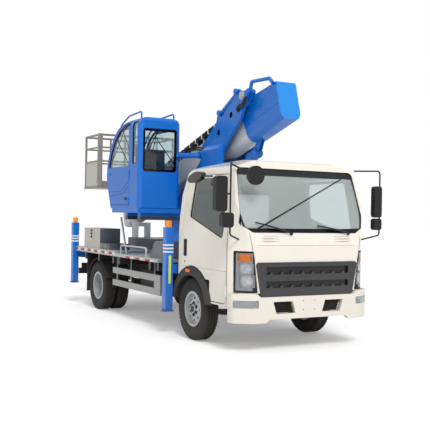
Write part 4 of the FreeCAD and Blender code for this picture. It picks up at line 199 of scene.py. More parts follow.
def painted(tree, base, marks):
    """The base colour under painted marks, each a colour with limits, a repeat or a round."""
    if not marks:
        return base
    spot = node(tree, "ShaderNodeTexCoord").outputs["Object"]
    split = node(tree, "ShaderNodeSeparateXYZ", {0: spot})
    parts = {"x": split.outputs[0], "y": split.outputs[1], "z": split.outputs[2]}
    parts["side"] = calc(tree, "ABSOLUTE", parts["y"])
    parts["along"] = node(tree, "ShaderNodeVectorMath", {0: spot, 1: (math.cos(boom_slope), 0.0, math.sin(boom_slope))},
                          operation="DOT_PRODUCT").outputs["Value"]
    for mark in marks:
        mask = band(tree, parts, mark["limits"])
        if "repeat" in mark:
            axis, start, pitch, share = mark["repeat"]
            turn = calc(tree, "FRACT", calc(tree, "DIVIDE", calc(tree, "SUBTRACT", parts[axis], start), pitch))
            mask = calc(tree, "MULTIPLY", mask, calc(tree, "LESS_THAN", turn, share))
        if "round" in mark:
            axis, centre, height, inner, outer = mark["round"]
            across = calc(tree, "SUBTRACT", parts[axis], centre)
            rise = calc(tree, "SUBTRACT", parts["z"], height)
            away = calc(tree, "SQRT", calc(tree, "ADD", calc(tree, "MULTIPLY", across, across),
                                           calc(tree, "MULTIPLY", rise, rise)))
            ring = calc(tree, "MULTIPLY", calc(tree, "GREATER_THAN", away, inner), calc(tree, "LESS_THAN", away, outer))
            mask = calc(tree, "MULTIPLY", mask, ring)
        base = blend_colour(tree, mask, base, mark["colour"])
    return base


def finish(name, colour, roughness=0.35, metallic=0.0, coat=0.0, dust=0.5, dust_height=1.2, ripple=0.02,
           ripple_scale=160.0, marks=(), sheen=0.0, transmission=0.0):
    """A material with weathering, a fine ripple and painted marks, each mark a colour, limits and a repeat."""
    if name in bpy.data.materials:
        return bpy.data.materials[name]
    material = bpy.data.materials.new(name)
    material.use_nodes = True
    tree = material.node_tree
    tree.nodes.clear()
    shader = node(tree, "ShaderNodeBsdfPrincipled", {"Metallic": metallic, "Coat Weight": coat,
                                                     "Coat Roughness": 0.08, "Sheen Weight": sheen,
                                                     "Transmission Weight": transmission})
    out = node(tree, "ShaderNodeOutputMaterial", {"Surface": shader.outputs[0]})
    base = painted(tree, colour, marks)
    worn = node(tree, "ShaderNodeGroup", node_tree=weathering())
    for key, value in (("Color", base), ("Dust", tuple(bpy.context.scene.truck_colours.dust)), ("Amount", dust),
                       ("Dust height", dust_height), ("Roughness", roughness)):
        if isinstance(value, bpy.types.NodeSocket):
            tree.links.new(value, worn.inputs[key])
        else:
            worn.inputs[key].default_value = value
    tree.links.new(worn.outputs["Color"], shader.inputs["Base Color"])
    tree.links.new(worn.outputs["Roughness"], shader.inputs["Roughness"])
    if ripple:
        fine = node(tree, "ShaderNodeGroup", node_tree=grain())
        fine.inputs["Scale"].default_value = ripple_scale
        bump = node(tree, "ShaderNodeBump", {"Strength": ripple, "Distance": 0.01, "Height": fine.outputs[0]})
        tree.links.new(bump.outputs[0], shader.inputs["Normal"])
    out.location = (600, 0)
    return material


def clear_glass(name, tint, roughness=0.02, marks=(), clear=1.0):
    """Window glass, black where it has a painted edge."""
    if name in bpy.data.materials:
        return bpy.data.materials[name]
    material = bpy.data.materials.new(name)
    material.use_nodes = True
    tree = material.node_tree
    tree.nodes.clear()
    spot = node(tree, "ShaderNodeTexCoord").outputs["Object"]
    smear = node(tree, "ShaderNodeTexNoise", {"Vector": spot, "Scale": 6.0, "Detail": 3.0})
    rough = calc(tree, "ADD", calc(tree, "MULTIPLY", smear.outputs[0], 0.03), roughness)
    colour = painted(tree, tint, marks)
    shader = node(tree, "ShaderNodeBsdfPrincipled", {"Base Color": colour, "Roughness": rough, "Metallic": 0.0,
                                                     "Transmission Weight": clear, "IOR": 1.45})
    node(tree, "ShaderNodeOutputMaterial", {"Surface": shader.outputs[0]})
    return material


def dress(name, material):
    """Gives a CAD node a material."""
    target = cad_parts[name]
    if not target.material_slots:
        target.data.materials.append(material)
    for entry in target.material_slots:
        entry.material = material


def settle(name, form, material, body, sharp=32.0, recalc=False):
    """Makes a bmesh an object with soft faces and sharp edges, riding on a body."""
    if recalc:
        bmesh.ops.recalc_face_normals(form, faces=form.faces)
    limit = math.radians(sharp)
    for face in form.faces:
        face.smooth = True
    for edge in form.edges:
        edge.smooth = len(edge.link_faces) == 2 and edge.calc_face_angle(0.0) < limit
    mesh = bpy.data.meshes.new(name)
    form.to_mesh(mesh)
    form.free()
    mesh.materials.append(material)
    made = bpy.data.objects.new(name, mesh)
    bpy.context.scene.collection.objects.link(made)
    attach(made, body)
    return made


def tube(name, runs, radius, material, body, closed=False, order=3, sides=3):
    """Round bars or hoses along lists of places."""
    curve = bpy.data.curves.new(name, "CURVE")
    curve.dimensions = "3D"
    curve.bevel_depth = radius
    curve.bevel_resolution = sides
    curve.use_fill_caps = True
    for places in runs:
        if order == 2 or closed:
            spline = curve.splines.new("POLY")
        else:
            spline = curve.splines.new("NURBS")
        spline.points.add(len(places) - 1)
        for point, spot in zip(spline.points, places):
            point.co = (spot[0], spot[1], spot[2], 1.0)
        spline.use_cyclic_u = closed
        if spline.type == "NURBS":
            spline.order_u = order
            spline.use_endpoint_u = True
            spline.resolution_u = 8
    curve.materials.append(material)
    made = bpy.data.objects.new(name, curve)
    bpy.context.scene.collection.objects.link(made)
    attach(made, body)
    return made


def facing(axis):
    """A turn that points a cone's axis, made along Z, the given way."""
    return Vector((0, 0, 1)).rotation_difference(Vector(axis).normalized()).to_matrix().to_4x4()


def add_round(form, centre, axis, radius, depth, steps=24, top=None, edge=0.0):
    """A round or many-sided stub standing on a place along an axis, its far edge bevelled."""
    top = radius if top is None else top
    turn = Matrix.Translation(Vector(centre) + Vector(axis).normalized() * depth / 2) @ facing(axis)
    made = bmesh.ops.create_cone(form, cap_ends=True, segments=steps, radius1=radius, radius2=top, depth=depth,
                                 matrix=turn)
    if edge:
        tip = Vector(centre) + Vector(axis).normalized() * depth
        rim = [e for e in {e for v in made["verts"] for e in v.link_edges}
               if all(abs((v.co - tip).dot(Vector(axis).normalized())) < depth * 0.01 for v in e.verts)]
        bmesh.ops.bevel(form, geom=rim, offset=edge, offset_type="OFFSET", affect="EDGES", segments=2, profile=0.5,
                        material=-1)
    return made["verts"]


def add_slab(form, low, high, edge=0.004, steps=2, turn=None):
    """A slab between two corners with bevelled edges, turned about its centre if asked."""
    low, high = Vector(low), Vector(high)
    size = high - low
    start = Matrix.Translation((low + high) / 2) @ (turn or Matrix.Identity(4)) @ Matrix.Diagonal((*size, 1.0))
    made = bmesh.ops.create_cube(form, size=1.0, matrix=start)
    edges = list({e for v in made["verts"] for e in v.link_edges})
    if edge:
        bmesh.ops.bevel(form, geom=edges, offset=edge, offset_type="OFFSET", affect="EDGES", segments=steps,
                        profile=0.5, material=-1)
    return made["verts"]


def add_bolt(form, centre, axis, radius, height):
    """A hexagon head on its washer."""
    add_round(form, centre, axis, radius * 1.35, height * 0.22, steps=16)
    add_round(form, Vector(centre) + Vector(axis).normalized() * height * 0.2, axis, radius, height * 0.8, steps=6,
              top=radius * 0.94)


def window_loops(name):
    """The closed edge loops round the panes of a glass node, in order."""
    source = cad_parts[name]
    form = bmesh.new()
    form.from_mesh(source.data)
    bmesh.ops.remove_doubles(form, verts=form.verts, dist=0.00005)
    sharp = {e for e in form.edges if len(e.link_faces) == 2 and e.calc_face_angle(0.0) > math.radians(50)}
    loops = []
    while sharp:
        edge = sharp.pop()
        start, here = edge.verts
        places = [start.co.copy(), here.co.copy()]
        while True:
            following = [e for e in here.link_edges if e in sharp]
            if not following:
                break
            sharp.discard(following[0])
            here = following[0].other_vert(here)
            if here is start:
                break
            places.append(here.co.copy())
        if len(places) > 3:
            loops.append(places)
    form.free()
    return loops


def surface(name):
    """The skin of a CAD node, to lay lines on."""
    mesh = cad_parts[name].data
    return BVHTree.FromPolygons([v.co for v in mesh.vertices], [tuple(p.vertices) for p in mesh.polygons])


def laid(skin, places, way, lift):
    """Places cast on a skin the given way and lifted off it."""
    found = []
    for spot in places:
        hit, normal, _, away = skin.ray_cast(Vector(spot), Vector(way))
        if hit is not None and away < 0.4:
            found.append(hit - Vector(way) * lift)
    return found


def line_between(places, steps=6):
    """Places along straight runs between the given ones."""
    made = [Vector(places[0])]
    for start, end in zip(places, places[1:]):
        made += [Vector(start).lerp(Vector(end), step / steps) for step in range(1, steps + 1)]
    return made


def add_plate(form, outline, low, high, axis="y"):
    """A flat plate with an outline, between two places on an axis."""
    rings = []
    for level in (low, high):
        rings.append([form.verts.new(spot(level)) for spot in outline])
    form.faces.new(list(reversed(rings[0])))
    form.faces.new(rings[1])
    for i in range(len(outline)):
        k = (i + 1) % len(outline)
        form.faces.new((rings[0][i], rings[0][k], rings[1][k], rings[1][i]))


class TRUCK_OT_finishes(bpy.types.Operator):
    """Give every carried-over node its paint, metal, rubber, plastic or glass"""
    bl_idname = "truck.finishes"
    bl_label = "Finishes"

    def execute(self, context):
        colours = context.scene.truck_colours
        cab, blue = tuple(colours.cab), tuple(colours.blue)
        white, red, amber, black = rgb(235, 235, 232), rgb(190, 20, 16), rgb(250, 120, 10), rgb(16, 16, 17)
        lime = rgb(225, 235, 40)
        ripple = context.scene.truck_sizes.peel
        front = datum_x
        # The first mark is painted shade along the crease low on the cab's sides; the gap mark is a dark joint between
        # panels.
        line = rgb(150, 146, 138)
        crease_shade_and_gap = [{"colour": line, "limits": {"z": (0.926, 0.930), "side": (0.90, 1.0), "x": (front - 0.30, front + 0.82)}}]
        gap = rgb(72, 68, 62)
        crease_shade_and_gap.append({"colour": gap, "limits": {"x": (front + 0.8405, front + 0.8495), "side": (0.90, 1.0),
                                                 "z": (0.44, 1.36)}})
        # Painted shade: near-black discs inside the four number plate holes in the bumper.
        hole_shade = [{"colour": rgb(20, 20, 20), "limits": {"x": (front + 1.05, front + 1.2)},
                  "round": ("y", y, z, 0.0, 0.0065)} for y in (-0.0820, 0.0820) for z in (0.4845, 0.5935)]
        cab_paint = finish("Cream cab paint", cab, 0.28, coat=0.6, dust=0.5, dust_height=1.1, ripple=ripple,
                           marks=crease_shade_and_gap + hole_shade)
        for name in ("cab_shell", "door_left", "front_bumper"):
            dress(name, cab_paint)
        door_marks = crease_shade_and_gap + [{"colour": black, "limits": {"z": (1.95, 2.12), "y": (-1.2, -0.985),
                                                            "x": (front - 0.3, front + 0.6)}}]
        dress("door_right", finish("Cream door paint", cab, 0.28, coat=0.6, dust=0.5, dust_height=1.1,
                                   ripple=ripple, marks=door_marks))
        blue_paint = finish("Platform blue paint", blue, 0.3, coat=0.3, dust=0.15, dust_height=1.0, ripple=ripple)
        steel = finish("Polished pin steel", rgb(190, 192, 195), 0.22, metallic=1.0, dust=0.1, ripple=0.01)
        grey = tuple(colours.boom)
        pin = {"colour": rgb(176, 180, 186), "limits": {"side": (0.2505, 0.4)},
               "round": ("x", front - 0.098, 3.155, 0.0, 0.061)}
        turret_marks = [pin, {"colour": rgb(60, 62, 66), "limits": {"z": (1.49, 1.546), "x": (front - 2.4, front - 1.4)}}]
        # Painted shade: black discs inside the turret plates, behind their two holes, so the holes read dark.
        for x, z in ((-0.3773, 2.9293), (-0.7127, 2.7227)):
            turret_marks.append({"colour": black, "limits": {"side": (0.2, 0.2488)},
                                 "round": ("x", front + x, z, 0.0, 0.0415)})
        dress("turret", finish("Turret blue paint", blue, 0.3, coat=0.3, dust=0.15, dust_height=1.0,
                               ripple=ripple, marks=turret_marks))
        for name in ("operator_cab", "operator_door", "lift_barrel"):
            dress(name, blue_paint)
        nose_marks = [{"colour": rgb(20, 138, 226),
                       "limits": {"along": (front * math.cos(boom_slope) + 1.43, 9.0)}}]
        dress("boom_nose", finish("Nose blue paint", blue, 0.3, coat=0.3, dust=0.1, ripple=ripple,
                                  marks=nose_marks))
        boom_paint = finish("Boom grey paint", grey, 0.32, coat=0.5, dust=0.2, dust_height=1.4, ripple=ripple)
        for name in ("boom_base", "boom_section_1", "boom_section_2", "boom_section_3"):
            dress(name, boom_paint)
        dress("lift_rod", finish("Chromed rod", rgb(215, 217, 220), 0.12, metallic=1.0, dust=0.02, ripple=0.0))
        chain_marks = [{"colour": white, "limits": {"z": (2.0, 3.4)}, "repeat": ("along", 0.0, 0.2, 0.16)}]
        dress("hose_chain", finish("Hose chain plastic", black, 0.5, dust=0.3, ripple=0.15, marks=chain_marks))
        for end in ("front", "rear"):
            for side in ("left", "right"):
                marks = [{"colour": white, "limits": {"z": (low, low + 0.022)}} for low in (1.165, 1.121, 1.076)]
                marks.append({"colour": rgb(255, 150, 20), "limits": {"z": (1.4105, 1.6)}})
                if end == "front":
                    marks.append({"colour": lime, "limits": {"z": (0.67, 1.04), "x": (front - 0.5655, front),
                                                             "side": (1.010, 1.045)}})
                dress("outrigger_%s_%s" % (end, side),
                      finish("Jack paint " + end, blue, 0.3, coat=0.5, dust=0.5, dust_height=1.0, ripple=ripple,
                             marks=marks))
                dress("jack_leg_%s_%s" % (end, side), finish("Jack leg blue", rgb(10, 84, 176), 0.4, coat=0.3,
                                                             dust=0.6, dust_height=1.0, ripple=0.05))
        deck_marks = []
        for start, end, pitch, top in ((-4.47, -2.32, 0.325, 1.0), (-2.14, -0.97, 0.36, 0.966)):
            edge = {"side": (1.0295, 1.1), "z": (top - 0.058, top - 0.018)}
            for low in range(int((end - start) / pitch)):
                x = front + start + 0.05 + low * pitch
                deck_marks.append({"colour": red, "limits": dict(edge, x=(x, x + pitch * 0.46))})
                deck_marks.append({"colour": white, "limits": dict(edge, x=(x + pitch * 0.46, x + pitch * 0.82))})
        dress("deck", finish("Deck metal", tuple(colours.deck), 0.38, metallic=0.35, dust=0.5, dust_height=1.6,
                             ripple=0.12, ripple_scale=60.0, marks=deck_marks))
        side = {"y": (-1.0, -0.9845)}
        box_marks = [{"colour": rgb(188, 185, 176), "limits": dict(side, x=(front - 4.08, front - 3.305))},
                     {"colour": rgb(60, 62, 64), "limits": dict(side, x=(front - 3.564, front - 3.56), z=(1.02, 1.31))}]
        dress("deck_boxes", finish("Deck box grey", rgb(92, 98, 104), 0.4, coat=0.3, dust=0.5, dust_height=1.6,
                                   ripple=0.05, marks=box_marks))
        light_grey = finish("Guard grey", rgb(196, 199, 200), 0.38, coat=0.3, dust=0.6, dust_height=1.0, ripple=0.03)
        dress("boom_rest", light_grey)
        posts = [{"colour": rgb(40, 42, 46), "limits": {"side": (0.0, 0.9545)}},
                 {"colour": rgb(40, 42, 46), "limits": {"z": (0.76, 1.0)}}]
        dress("side_guards", finish("Guard aluminium", rgb(158, 160, 158), 0.38, coat=0.3, dust=0.6, dust_height=1.0,
                                    ripple=0.03, marks=posts))
        boxes = [{"colour": blue, "limits": {"x": (front + x - 0.1, front + x + 0.1)}} for x in (-0.62, -4.43)]
        boxes.append({"colour": blue, "limits": {"z": (0.93, 1.6)}})
        dress("subframe", finish("Subframe paint", rgb(34, 38, 44), 0.4, coat=0.3, dust=0.6, dust_height=1.2,
                                 ripple=0.04, marks=boxes))
        chassis = finish("Chassis black", rgb(26, 27, 29), 0.45, dust=0.8, dust_height=0.9, ripple=0.08)
        for name in ("chassis_frame", "side_tanks"):
            dress(name, chassis)
        iron = finish("Cast iron", rgb(40, 40, 42), 0.6, metallic=0.4, dust=0.9, dust_height=0.9, ripple=0.25)
        for name in ("engine_block", "driveline", "front_axle", "rear_axle", "knuckle_left", "knuckle_right"):
            dress(name, iron)
        black_plastic = finish("Black plastic", rgb(22, 22, 23), 0.5, dust=0.5, dust_height=1.0, ripple=0.12,
                               ripple_scale=300.0)
        dress("mirrors", finish("Mirror plastic", rgb(20, 20, 21), 0.38, dust=0.1, ripple=0.05, ripple_scale=300.0))
        arch_marks = [{"colour": amber, "limits": {"x": (front - 0.20, front - 0.08), "z": (0.855, 0.893),
                                                   "side": (0.9845, 1.0)}}]
        dress("mudguards", finish("Wheel arch plastic", rgb(24, 24, 25), 0.5, dust=0.5, dust_height=1.0, ripple=0.12,
                                  ripple_scale=300.0, marks=arch_marks))
        rear_marks = [{"colour": red, "limits": {"z": (0.61, 0.70), "side": (0.60, 0.73), "x": (-9.0, front - 4.59)}},
                      {"colour": amber, "limits": {"z": (0.61, 0.70), "side": (0.74, 0.84),
                                                   "x": (-9.0, front - 4.59)}}]
        dress("rear_bar", finish("Rear bar black", rgb(24, 24, 25), 0.45, dust=0.6, dust_height=1.0, ripple=0.08,
                                 marks=rear_marks))
        # Painted shade: the grille's recessed slot faces, behind its front, are near-black.
        slot_shade = [{"colour": rgb(12, 12, 13), "limits": {"x": (front + 0.9, front + 1.087), "z": (0.66, 1.04)}}]
        dress("grille", finish("Grille charcoal", rgb(58, 59, 63), 0.34, metallic=0.3, coat=0.3, dust=0.2,
                               ripple=0.03, marks=slot_shade))
        bowls = [{"colour": rgb(226, 228, 232), "limits": {"z": (0.7, 1.05)},
                  "round": ("side", side, height, 0.0, 0.051)} for side, height in ((0.8146, 0.9724), (0.8046, 0.8305))]
        bowls.insert(0, {"colour": rgb(150, 153, 157), "limits": {"z": (0.722, 1.15), "side": (0.768, 0.915)}})
        bowls.append({"colour": rgb(255, 170, 40), "limits": {"z": (1.052, 1.140), "side": (0.780, 0.902)}})
        dress("headlamps", finish("Lamp housing", rgb(46, 48, 52), 0.22, metallic=0.7, dust=0.1, ripple=0.0,
                                  marks=bowls))
        lens_marks = [{"colour": rgb(255, 190, 80), "limits": {"z": (1.05, 1.2)}}]
        dress("lamp_lenses", finish("Lamp lens", rgb(240, 243, 246), 0.04, coat=0.3, dust=0.03, ripple=0.0,
                                    marks=lens_marks, transmission=0.86))
        rim = finish("Rim silver paint", tuple(colours.rim), 0.35, metallic=0.45, dust=0.6, dust_height=0.8,
                     ripple=0.05)
        for name in ("front_rim_left", "front_rim_right", "rear_rims_left", "rear_rims_right"):
            dress(name, rim)
        sheet = [{"colour": rgb(192, 190, 186), "limits": {"side": (0.7025, 0.7095), "z": (2.06, 2.49)}}]
        basket = finish("Basket grey", rgb(132, 127, 121), 0.4, coat=0.3, dust=0.15, ripple=0.04, marks=sheet)
        dress("basket", basket)
        dress("basket_mount", basket)
        dress("cab_inside", finish("Cab lining", rgb(150, 151, 149), 0.8, dust=0.1, ripple=0.4, ripple_scale=700.0,
                                   sheen=0.3))
        dress("operator_seat", finish("Cushion cloth", rgb(70, 72, 77), 0.85, dust=0.1, ripple=0.5, ripple_scale=700.0,
                                      sheen=0.3))
        glass = clear_glass("Window glass", (0.72, 0.80, 0.80, 1.0))
        for name in ("door_glass_left", "door_glass_right", "operator_door_glass"):
            dress(name, glass)
        ink = rgb(8, 8, 9)
        edge = [{"colour": ink, "limits": {"x": (front + 0.5, front + 1.2), "z": (1.3, 1.436)}},
                {"colour": rgb(60, 70, 74), "limits": {"x": (front + 0.5, front + 1.2), "z": (2.06, 2.2)}},
                {"colour": ink, "limits": {"x": (front + 0.5, front + 1.2), "side": (0.872, 1.0)}}]
        dress("cab_glass", clear_glass("Windscreen glass", (0.78, 0.84, 0.83, 1.0), marks=edge, clear=0.72))
        pane = (front - 1.60, front - 1.50)
        edge = [{"colour": ink, "limits": {"x": pane, "z": (2.1, 2.228)}},
                {"colour": ink, "limits": {"x": pane, "z": (2.777, 2.9)}},
                {"colour": ink, "limits": {"x": pane, "y": (-1.1, -0.975)}},
                {"colour": ink, "limits": {"x": pane, "y": (-0.513, -0.4)}}]
        dress("operator_glass", clear_glass("Operator's glass", (0.72, 0.80, 0.80, 1.0), marks=edge))
        return {"FINISHED"}


class TRUCK_OT_tyres(bpy.types.Operator):
    """Replace the plain tyres with treaded ones"""
    bl_idname = "truck.tyres"
    bl_label = "Treaded tyres"

    def rubber(self):
        return finish("Tyre rubber", rgb(17, 17, 18), 0.75, dust=0.3, dust_height=0.9, ripple=0.25,
                      ripple_scale=220.0)

    def one(self, form, centre, sizes):
        half = tyre_width / 2
        r = tyre_radius
        groove = sizes.tread_depth
        outline = [(0.2045, -0.067), (0.2235, -0.0695), (0.236, -0.080), (0.262, -0.092), (0.300, -0.0985),
                   (0.335, -0.0965), (0.362, -0.090), (r - 0.008, -0.080)]
        for start in (-0.074, -0.036, 0.003, 0.041):
            outline += [(r - 0.002, start), (r, start + 0.003), (r, start + 0.029), (r - 0.002, start + 0.032)]
            if start < 0.04:
                outline += [(r - groove, start + 0.0335), (r - groove, start + 0.0365)]
        outline += [(radius, -along) for radius, along in reversed(outline[:8])]
        verts = [form.verts.new(Vector(centre) + Vector((0, along * half / 0.1, radius)))
                 for radius, along in outline]
        edges = [form.edges.new((verts[i], verts[i + 1])) for i in range(len(verts) - 1)]
        edges.append(form.edges.new((verts[-1], verts[0])))
        steps = sizes.tread_steps
        bmesh.ops.spin(form, geom=verts + edges, cent=centre, axis=(0, 1, 0), angle=2 * math.pi, steps=steps,
                       use_merge=True, dvec=(0, 0, 0), use_duplicate=False)
        shoulder = []
        for face in form.faces:
            spot = face.calc_center_median() - Vector(centre)
            away = math.hypot(spot.x, spot.z)
            if away > r - 0.02 and 0.08 * half / 0.1 < abs(spot.y):
                turn = math.degrees(math.atan2(spot.z, spot.x)) % 360
                if int(turn / (360 / steps)) % 2 == 0:
                    shoulder.append(face)
        bmesh.ops.inset_individual(form, faces=shoulder, thickness=0.0012, depth=-0.005)

    def execute(self, context):
        sizes = context.scene.truck_sizes
        rubber = self.rubber()
        for side in ("left", "right"):
            form = bmesh.new()
            self.one(form, middle("front_tyre_" + side), sizes)
            made = settle("front_tyre_tread_" + side, form, rubber, "wheel_front_" + side, recalc=True)
            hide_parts("front_tyre_" + side)
            form = bmesh.new()
            low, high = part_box("rear_tyres_" + side)
            centre = middle("rear_tyres_" + side)
            for y in (low[1] + tyre_width / 2, high[1] - tyre_width / 2):
                fresh = bmesh.new()
                self.one(fresh, Vector((centre.x, y, centre.z)), sizes)
                scratch = bpy.data.meshes.new("scratch")
                fresh.to_mesh(scratch)
                fresh.free()
                form.from_mesh(scratch)
                bpy.data.meshes.remove(scratch)
            made = settle("rear_tyre_tread_" + side, form, rubber, "wheels_rear_" + side, recalc=True)
            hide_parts("rear_tyres_" + side)
        return {"FINISHED"}


class TRUCK_OT_wheel_nuts(bpy.types.Operator):
    """Add the wheel nuts, hub caps and hub bolts"""
    bl_idname = "truck.wheel_nuts"
    bl_label = "Wheel nuts"

    def execute(self, context):
        size = context.scene.truck_sizes.nut_radius
        steel = finish("Wheel nut steel", rgb(70, 72, 76), 0.4, metallic=0.8, dust=0.6, dust_height=0.8, ripple=0.0)
        hub = finish("Hub paint", rgb(52, 54, 58), 0.45, metallic=0.3, dust=0.6, dust_height=0.8, ripple=0.1)
        for side, sign in (("left", 1), ("right", -1)):
            form = bmesh.new()
            centre = Vector((axle.x, 0, tyre_radius))
            face = sign * 0.9125
            for step in range(6):
                turn = math.tau * (step + 0.5) / 6
                spot = centre + Vector((0.0735 * math.cos(turn), face, 0.0735 * math.sin(turn)))
                add_bolt(form, spot, (0, sign, 0), size, 0.022)
            settle("front_wheel_nuts_" + side, form, steel, "wheel_front_" + side)
            form = bmesh.new()
            add_round(form, centre + Vector((0, sign * 0.934, 0)), (0, sign, 0), 0.040, 0.006, steps=32, edge=0.003)
            for step in range(6):
                turn = math.tau * step / 6
                spot = centre + Vector((0.030 * math.cos(turn), sign * 0.940, 0.030 * math.sin(turn)))
                add_round(form, spot, (0, sign, 0), 0.005, 0.004, steps=6)
            settle("front_hub_cap_" + side, form, hub, "wheel_front_" + side)
            form = bmesh.new()
            centre = Vector((rear_axle_x, 0, tyre_radius))
            face = sign * 0.777
            for step in range(6):
                turn = math.tau * (step + 0.5) / 6
                spot = centre + Vector((0.1015 * math.cos(turn), face, 0.1015 * math.sin(turn)))
                add_bolt(form, spot, (0, sign, 0), size, 0.026)
            for step in range(8):
                turn = math.tau * step / 8
                spot = centre + Vector((0.045 * math.cos(turn), sign * 0.849, 0.045 * math.sin(turn)))
                add_bolt(form, spot, (0, sign, 0), 0.006, 0.008)
            settle("rear_wheel_nuts_" + side, form, steel, "wheels_rear_" + side)
        return {"FINISHED"}


class TRUCK_OT_gaskets(bpy.types.Operator):
    """Run black rubber round every window"""
    bl_idname = "truck.gaskets"
    bl_label = "Window rubbers"

    def execute(self, context):
        rubber = finish("Window rubber", rgb(14, 14, 15), 0.55, dust=0.15, ripple=0.05, ripple_scale=300.0)
        radius = context.scene.truck_sizes.gasket
        for name, body, scale in (("cab_glass", "truck", 1.7), ("door_glass_left", "door_left", 1.2),
                                  ("door_glass_right", "door_right", 1.2), ("operator_glass", "turret", 1.3),
                                  ("operator_door_glass", "operator_door", 1.3)):
            loops = window_loops(name)
            if not loops:
                raise RuntimeError("no window outline found on " + name)
            tube(name + "_rubber", loops, radius * scale, rubber, body, closed=True, sides=1)
        return {"FINISHED"}


class TRUCK_OT_wipers(bpy.types.Operator):
    """Lay two wipers on the windscreen"""
    bl_idname = "truck.wipers"
    bl_label = "Wipers"

    def on_screen(self, y, z, lift):
        """A place on the windscreen at that side and height, lifted off it."""
        x = 1.042 - (z - 1.380) * 0.309
        return place(x, y, z) + Vector((0.955, 0, 0.298)) * lift

    def execute(self, context):
        black = finish("Wiper black", rgb(15, 15, 16), 0.4, dust=0.1, ripple=0.02)
        arms, blades = [], []
        form = bmesh.new()
        for pivot, tip in (((-0.225, 1.375), (-0.701, 1.500)), ((0.625, 1.381), (0.175, 1.469))):
            start = self.on_screen(pivot[0], pivot[1], 0.0)
            add_round(form, start, (0.955, 0, 0.298), 0.020, 0.030, steps=20, top=0.015, edge=0.003)
            half = [(pivot[i] + tip[i]) / 2 for i in (0, 1)]
            arms.append([self.on_screen(pivot[0], pivot[1], 0.030), self.on_screen(half[0], half[1], 0.042),
                         self.on_screen(half[0] * 0.6 + tip[0] * 0.4, half[1] * 0.6 + tip[1] * 0.4, 0.024)])
            blades.append([self.on_screen(pivot[0] * 0.85 + tip[0] * 0.15, pivot[1] * 0.85 + tip[1] * 0.15 + 0.012,
                                          0.012),
                           self.on_screen(half[0], half[1] + 0.014, 0.018),
                           self.on_screen(tip[0], tip[1], 0.012)])
        settle("wiper_pivots", form, black, "truck")
        tube("wiper_arms", arms, 0.008, black, "truck")
        tube("wiper_blades", blades, 0.009, black, "truck")
        return {"FINISHED"}


